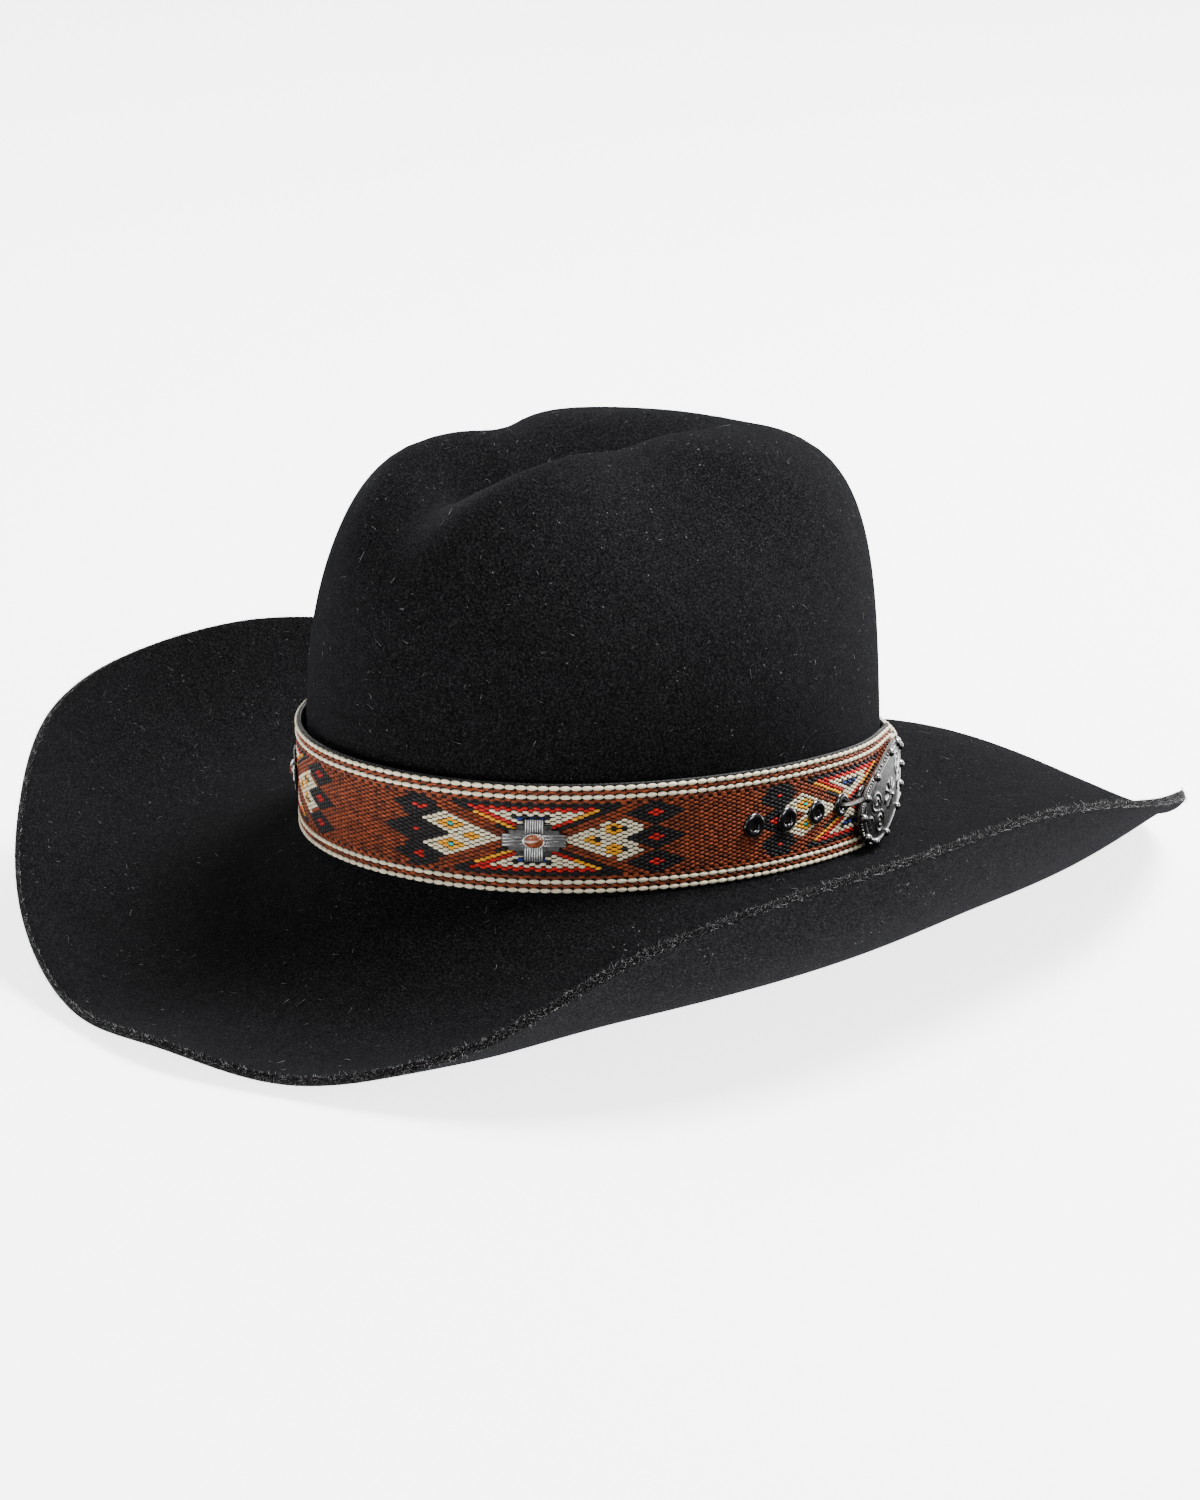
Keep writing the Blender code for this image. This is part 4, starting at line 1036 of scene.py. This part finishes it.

# %% [markdown]
# ## Eyelets
# Each eyelet is a rolled ring of black enamelled brass. Its profile runs down the bore, over the
# rolled lip and out under the flange, and is spun into a solid with a black floor across its bore:
# painted shadow where the real eyelet is an open hole.

# %% Eyelets
enamel = Finish("black_enamel_gloss", (0.006, 0.006, 0.007), 0.10)
enamel.set("Coat Weight", 1.0)
enamel.set("Coat Roughness", 0.03)
enamel.rough(enamel.ramp(enamel.noise(700.0, 3.0, 0.6), [(0.3, 0.08), (0.7, 0.2)]))
lip = [(2.85 + 1.25 * np.cos(a), 0.05 + 0.95 * np.sin(a)) for a in np.radians(np.arange(180, -1, -15))]
# The first two points are a black floor that closes the bore: painted shadow down the hole.
EYELET_PROFILE = [(0.0, -0.95), (1.58, -0.95)] + lip + [(4.1, -0.25), (0.0, -1.1)]
for number, arc in enumerate(EYELET_ARCS, 1):
    points, quads, caps = spun(EYELET_PROFILE)
    out = BAND_OUT + GAP + float(strap_lift(arc))
    eyelet = add_mesh(f"eyelet_{number}_ring", on_seat(points * MM, arc, out, lean=False), quads, caps)
    dress(outward(eyelet), enamel.material, "hatband", "black_enamel", f"eyelet_{number}")

# %% [markdown]
# ## Buckle
# The buckle is a cast oval shield with round knobs on its rim and scrolls on its face. Its face is
# a height field over an oval grid: a shallow dome, a raised rim, and spirals whose phase grows with
# distance from their centres. The frame's own plate stays behind it with its hook and hinge eyes.

# %% Buckle face
BUCKLE_LENGTH, BUCKLE_HEIGHT, BUCKLE_THICK = 0.0470, 0.0240, 0.0012
BUCKLE_TURN, BUCKLE_DROP = radians(22.0), 0.0015
BUCKLE_MIDDLE = HOOK_ARC + 0.0315
FACE_SIDES = 220


def plate_out(arc):
    """How far the plate stands off the crown: a clearance that grows along it from the hook."""
    return BAND_OUT + GAP + 0.0006 + 0.0005 + 0.014 * (arc - HOOK_ARC)


def on_plate(long, short, extra):
    """Points on the plate from its own two axes, turned and bent with it."""
    arc = BUCKLE_MIDDLE + long * np.cos(BUCKLE_TURN) - short * np.sin(BUCKLE_TURN)
    up = long * np.sin(BUCKLE_TURN) + short * np.cos(BUCKLE_TURN) - BUCKLE_DROP
    return wrap(arc, plate_out(arc) + extra, up)


def plate_oval(share, angle):
    """An oval with full corners: cosine and sine to the power 0.8, times the half sizes."""
    long = np.sign(np.cos(angle)) * np.abs(np.cos(angle)) ** 0.8 * BUCKLE_LENGTH / 2 * share
    short = np.sign(np.sin(angle)) * np.abs(np.sin(angle)) ** 0.8 * BUCKLE_HEIGHT / 2 * share
    return long, short


def scrolls(long, short):
    """Spirals round centres laid out in pairs, and petals round the middle: 0 low to 1 high."""
    x, y = long * 1000, short * 1000
    relief = np.zeros_like(x)
    for cx, cy, size, turn_way in ((12.0, 3.6, 4.6, 1), (12.0, -3.6, 4.6, -1), (-12.0, 3.6, 4.6, -1),
                                   (-12.0, -3.6, 4.6, 1), (18.5, 0.0, 3.2, 1), (-18.5, 0.0, 3.2, -1)):
        r = np.hypot(x - cx, y - cy)
        phase = 2 * pi * r / 1.9 - turn_way * np.arctan2(y - cy, x - cx)
        relief = np.maximum(relief, (0.5 + 0.5 * np.cos(phase)) * smooth((size - r) / 0.8))
    r, angle = np.hypot(x, y * 1.15), np.arctan2(y, x)
    petals = (0.5 + 0.5 * np.cos(8 * angle)) * smooth((6.2 - r) / 1.0) * smooth((r - 1.2) / 1.0)
    return np.maximum(np.maximum(relief, petals), smooth((1.5 - r) / 0.6))


def make_buckle_face():
    """The shield: a dome of 1 minus share squared, with its scrolls, its rim and a skirt."""
    shares = np.linspace(0.0, 1.0, 64)[1:]
    angle = full_turn(FACE_SIDES)
    long, short = plate_oval(shares[:, None], angle[None])
    relief = scrolls(long, short) * smooth((0.86 - shares[:, None]) / 0.06)
    rim = np.exp(-(((shares[:, None] - 0.925) / 0.035) ** 2))
    extra = BUCKLE_THICK + 0.0002 + 0.0009 * (1 - shares[:, None] ** 2) + 0.00042 * relief + 0.0005 * rim
    extra = extra - 0.0005 * smooth((shares[:, None] - 0.97) / 0.03)
    face = on_plate(long, short, extra)
    long, short = plate_oval(1.015, angle)
    skirt = [on_plate(long, short, np.full(FACE_SIDES, level)) for level in (0.00105, 0.0004)]
    centre = on_plate(np.zeros(1), np.zeros(1), np.array([BUCKLE_THICK + 0.0011 + 0.0004]))
    under = on_plate(np.zeros(1), np.zeros(1), np.array([0.0006]))
    points = np.concatenate([face.reshape(-1, 3), *skirt, centre, under])
    rows = len(shares) + len(skirt)
    shield = add_mesh("buckle_face", points, grid_faces(rows, FACE_SIDES), end_fans(rows, FACE_SIDES))
    shield = outward(shield)
    relief_and_top_light = np.clip(0.25 + 0.75 * np.maximum(relief, rim), 0, 1).ravel()
    relief_and_top_light = np.concatenate([relief_and_top_light, np.full(len(skirt) * FACE_SIDES + 2, 0.45)])
    point_value(shield, "relief_and_top_light", relief_and_top_light)
    return shield


def balls(name, centres, radii, sides=14):
    """Closed balls at each place: rings of latitude with a pole at both ends."""
    angle = np.radians(np.linspace(-70, 70, 7))
    profile = [(0.0, -1.0)] + [(np.cos(a), np.sin(a)) for a in angle] + [(0.0, 1.0)]
    template, quads, caps = spun(profile, sides=sides)
    points = centres[:, None] + template[None] * np.asarray(radii)[:, None, None]
    count, size = len(centres), len(template)
    made = add_mesh(name, points, copies(quads, count, size), copies(caps, count, size))
    # The value rises with height on each ball: a painted highlight on every knob's top and painted shade
    # under it.
    point_value(made, "relief_and_top_light", np.tile(np.clip(0.55 + 0.4 * template[:, 2], 0, 1), count))
    return outward(made)


def make_rim_knobs():
    """Big knobs at even angles, each on a collar of small beads between its neighbours."""
    big = (np.arange(12) + 0.5) / 12 * 2 * pi
    small = full_turn(98)
    small = small[np.abs((small[:, None] - big[None] + pi) % (2 * pi) - pi).min(1) > 0.09]
    angle = np.concatenate([big, small])
    level = np.where(np.arange(len(angle)) < len(big), BUCKLE_THICK + 0.0006, BUCKLE_THICK + 0.0001)
    share = np.where(np.arange(len(angle)) < len(big), 0.955, 0.99)
    long, short = plate_oval(share, angle)
    radii = np.where(np.arange(len(angle)) < len(big), 0.00145, 0.00048)
    return balls("buckle_knobs", on_plate(long, short, level), radii)


# Shield and knobs take the darkened copy of the silver, which is painted shade.
dress(make_buckle_face(), SILVER_PAINTED_SHADE, "buckle", "aged_silver", "buckle_boss")
dress(make_rim_knobs(), SILVER_PAINTED_SHADE, "buckle", "aged_silver", "buckle_rim")
plain_silver = Finish("aged_silver_wire", (0.50, 0.48, 0.45), 0.34, 1.0)
tarnish = plain_silver.noise(350.0, 4.0, 0.65)
plain_silver.colour(plain_silver.ramp(tarnish, [(0.3, (0.06, 0.058, 0.054)), (0.65, (0.34, 0.33, 0.31))]))
plain_silver.rough(plain_silver.ramp(tarnish, [(0.3, 0.5), (0.7, 0.25)]))
plain_silver.bump(plain_silver.noise(1500.0, 2.0, 0.5), 0.00004, 0.4)
for name in ["buckle_plate", "buckle_bail"] + [f"concho_{k}_screw" for k in range(1, 5)]:
    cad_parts[name].material_slots[0].material = plain_silver.material

# %% [markdown]
# ## The fold that holds the buckle
# The strap's inner end is turned round the wire bail and sewn down. It is a short sleeve of
# leather, a ring-shaped section carried up the bail.


# %% Fold
def make_fold():
    """A sleeve: four rings, outer radius 1.5 mm and bore 1.1 mm, closed on itself."""
    half = STRAP_END_HALF - 0.0006
    section = [(1.10, half), (1.24, half + 0.00012), (1.38, half + 0.0001), (1.5, half - 0.0001),
               (1.5, -half + 0.0001), (1.38, -half - 0.0001), (1.24, -half - 0.00012), (1.10, -half)]
    turn_angle = full_turn(32)
    rings = [np.stack([r * MM * np.cos(turn_angle), np.full(32, y), r * MM * np.sin(turn_angle)], -1)
             for r, y in section]
    points = on_seat(np.concatenate(rings), FOLD_ARC, 0.0022)
    return outward(add_mesh("fold_sleeve", points, grid_faces(8, 32, close_rows=True)))


dress(make_fold(), backing.data.materials[0], "hatband", "black_leather", "strap_fold")

# %% [markdown]
# ## Inside the crown
# A tan leather sweatband lines the head opening. Its lower edge is turned round a thin reed and
# whip-stitched, a tiny bow marks the back, and a satin lining of a gathered side and a flat oval
# tip closes the crown. All are rings carried round the crown's wall.


# %% Rings round the wall
MEAN_RADIUS = 0.096
STITCH_LINES = (0.0050, 0.0400)


def carried(name, section, theta, waves=None):
    """A closed section of height and inset carried round the wall; waves adds to the inset."""
    height, inset = (np.array(v)[None] for v in zip(*section))
    extra = 0.0 if waves is None else waves(theta[:, None], height)
    points = wall(theta[:, None], height, inset + extra)
    return outward(add_mesh(name, points, grid_faces(len(theta), len(section), close_rows=True)))


def make_sweatband():
    """Face of the band with a shallow groove near each edge and rounded ends."""
    inset, thick = FELT + 0.0006, 0.0012
    height = np.array([0.0016, 0.0026, 0.0040, 0.0050, 0.0060, 0.015, 0.028, 0.0392, 0.0400,
                       0.0408, 0.0440])
    low, high = (np.exp(-((height - line) / 0.0006) ** 2) for line in STITCH_LINES)
    groove = 0.00018 * (low + high)
    face = [(h, inset + thick - g) for h, g in zip(height, groove)]
    back = [(h, inset + 0.0001) for h in height[::-1]]
    section = face + [(0.0450, inset + 0.0006)] + back
    return carried("sweatband_leather_band", section, full_turn(240))


def tube_round(name, height, inset, radius, sides=12, count=300):
    """A round cord carried along the wall at one height."""
    theta = full_turn(count)
    middle = wall(theta, np.full(count, height), inset)
    ahead = unit(np.roll(middle, -1, 0) - np.roll(middle, 1, 0))
    side = unit(np.cross(ahead, [0.0, 0.0, 1.0]))
    points = middle[:, None] + radius * rings_across(side, np.cross(ahead, side), sides)
    return outward(add_mesh(name, points, grid_faces(count, sides, close_rows=True)))


def wall_stitches(name, height, inset, count, length, radius, slant=0.0):
    """Short thread capsules that follow a line on the wall."""
    theta = full_turn(count)
    span = length / MEAN_RADIUS / 2
    starts = wall(theta - span, np.full(count, height - slant), inset)
    ends = wall(theta + span, np.full(count, height + slant), inset)
    points, quads, caps = capsules(starts, ends, radius, 6)
    size = points.shape[1]
    thread = add_mesh(name, points, copies(quads, count, size), copies(caps, count, size))
    point_value(thread, "tone", np.repeat(dice.random(count), size))
    return outward(thread)


tan_leather = leather_finish("tan_sweatband_leather", (0.27, 0.145, 0.070), 700.0, 0.5)
dress(make_sweatband(), tan_leather, "hat", "sweatband_leather", "sweatband")
reed_leather = leather_finish("black_reed_leather", (0.020, 0.016, 0.013), 900.0, 0.45)
reed_roll = tube_round("reed_roll", 0.0, FELT + 0.0016, 0.0009)
dress(reed_roll, reed_leather, "hat", "black_leather", "sweatband_reed")
thread_tan = yarn_finish("tan_thread", (0.42, 0.30, 0.18), 0.15)
for title, line in zip(("lower", "upper"), STITCH_LINES):
    row = wall_stitches(f"sweatband_{title}_stitches", line, FELT + 0.00185, 200, 0.0020, 0.00022)
    dress(row, thread_tan, "hat", "sweatband_leather")


# %% Bow
def make_bow():
    """Two leaf-shaped loops, two tails and a knot, each an oval cushion flattened on the band."""
    anchor = wall(np.array([pi / 2]), np.array([0.012]), FELT + 0.0018)[0]
    angle = np.radians(np.linspace(-75, 75, 9))
    profile = [(0.0, -1.0)] + [(np.cos(a), np.sin(a)) for a in angle] + [(0.0, 1.0)]
    template, quads, caps = spun(profile, sides=20)
    lobes = ((-4.3, 0.4, 4.1, 2.7, 12), (4.3, 0.4, 4.1, 2.7, -12), (0, 0, 1.3, 1.6, 0),
             (-3.0, -2.6, 3.4, 0.9, 35), (3.0, -2.6, 3.4, 0.9, -35))
    points = []
    for x, z, long, tall, lean_angle in lobes:
        lean_by = radians(lean_angle)
        u, v = template[:, 0] * long, template[:, 1] * tall * (0.45 + 0.55 * np.abs(template[:, 0]))
        depth = template[:, 2] * (0.45 + 0.3 * (long < 2))
        flat = np.stack([x + u * np.cos(lean_by) - v * np.sin(lean_by), -0.5 + depth,
                         z + u * np.sin(lean_by) + v * np.cos(lean_by)], -1)
        points.append(anchor + flat * MM)
    count, size = len(lobes), len(template)
    faces, ends = copies(quads, count, size), copies(caps, count, size)
    return outward(add_mesh("bow_ribbon", np.concatenate(points), faces, ends))


def satin_finish(name, colour, rough=0.35):
    """Satin: fine stretched streaks from dark to light."""
    satin = Finish(name, colour, rough)
    satin.set("Sheen Weight", 0.4)
    satin.set("Anisotropic", 0.4)
    weave = satin.noise(500.0, 2.0, 0.5, (1.0, 1.0, 12.0))
    low, high = tuple(0.6 * c for c in colour), tuple(min(1.0, 1.5 * c) for c in colour)
    satin.colour(satin.ramp(weave, [(0.3, low), (0.7, high)]))
    satin.bump(weave, 0.00008, 0.5)
    return satin.material


ribbon = satin_finish("black_ribbon", (0.012, 0.012, 0.013))
dress(make_bow(), ribbon, "hat", "black_leather", "sweatband_bow")

# %% Lining
LINING_TOP = BREAK_MEAN + 0.082
LINING_INSET = FELT + 0.0018
PIPING_RADIUS = 0.0008


def lining_height(theta, drop):
    """Height above the break of a level line below the lining's top."""
    return LINING_TOP - drop - around(BREAK_RISE, theta)


def level_points(theta, drop, inset):
    """Points on the wall at one level, whatever the break does there."""
    points = wall(theta, lining_height(theta, drop), inset)
    points[..., 2] = LINING_TOP - drop - GROUND
    return points


def make_lining_side():
    """Cloth gathered into the tip's seam: folds deepen towards the top."""
    theta = full_turn(720)
    share = np.linspace(0.0, 1.0, 26)[None]
    low = 0.046 + 0 * theta[:, None]
    high = lining_height(theta, 0.0022)[:, None]
    height = low + (high - low) * share
    folds = np.sin(64 * theta[:, None] + 0.9 * np.sin(7 * theta[:, None]))
    inset = LINING_INSET + 0.004 * share + 0.0005 * (1 + folds) * smooth(share) * (1 - 0.6 * share**6)
    outer = wall(theta[:, None], height, inset)
    inner = wall(theta[:, None], height, inset + 0.0004)
    points = np.concatenate([outer, inner[:, ::-1]], 1)
    return outward(add_mesh("lining_side_cloth", points, grid_faces(720, 52, close_rows=True)))


def make_lining_tip():
    """A flat oval of cloth, eased a little where it is sewn."""
    theta = full_turn(240)
    edge = level_points(theta, 0.0, LINING_INSET + 0.0072)
    centre = edge.mean(0)
    shares = np.linspace(0, 1, 40)[1:]
    rows = centre + (edge - centre)[None] * shares[:, None, None]
    ripple = 0.00012 * np.sin(30 * theta)[None] * smooth((shares - 0.7) / 0.3)[:, None]
    top, under = rows.copy(), rows.copy()
    top[..., 2] += -0.0001 + ripple
    under[..., 2] += -0.0006 + ripple
    points = np.concatenate([top.reshape(-1, 3), under[::-1].reshape(-1, 3), [centre - [0, 0, 0.0001]],
                             [centre - [0, 0, 0.0006]]])
    count = 2 * len(shares)
    return outward(add_mesh("lining_tip_cloth", points, grid_faces(count, 240), end_fans(count, 240)))


def make_piping():
    """A round cord on the seam of the side and the tip."""
    theta = full_turn(400)
    middle = level_points(theta, 0.0008, LINING_INSET + 0.0056)
    ahead = unit(np.roll(middle, -1, 0) - np.roll(middle, 1, 0))
    side = unit(np.cross(ahead, [0.0, 0.0, 1.0]))
    ring = rings_across(side, np.array([[0.0, 0.0, 1.0]]), 12)
    faces = grid_faces(400, 12, close_rows=True)
    return outward(add_mesh("piping_cord", middle[:, None] + PIPING_RADIUS * ring, faces))


wine_satin = satin_finish("wine_satin", (0.085, 0.016, 0.018))
side_cloth = dress(make_lining_side(), wine_satin, "hat", "lining_satin", "lining_side")
tip_cloth = dress(make_lining_tip(), wine_satin, "hat", "lining_satin", "lining_tip")
piping_satin = satin_finish("wine_piping", (0.06, 0.010, 0.012), 0.45)
dress(make_piping(), piping_satin, "hat", "lining_satin", "lining_piping")
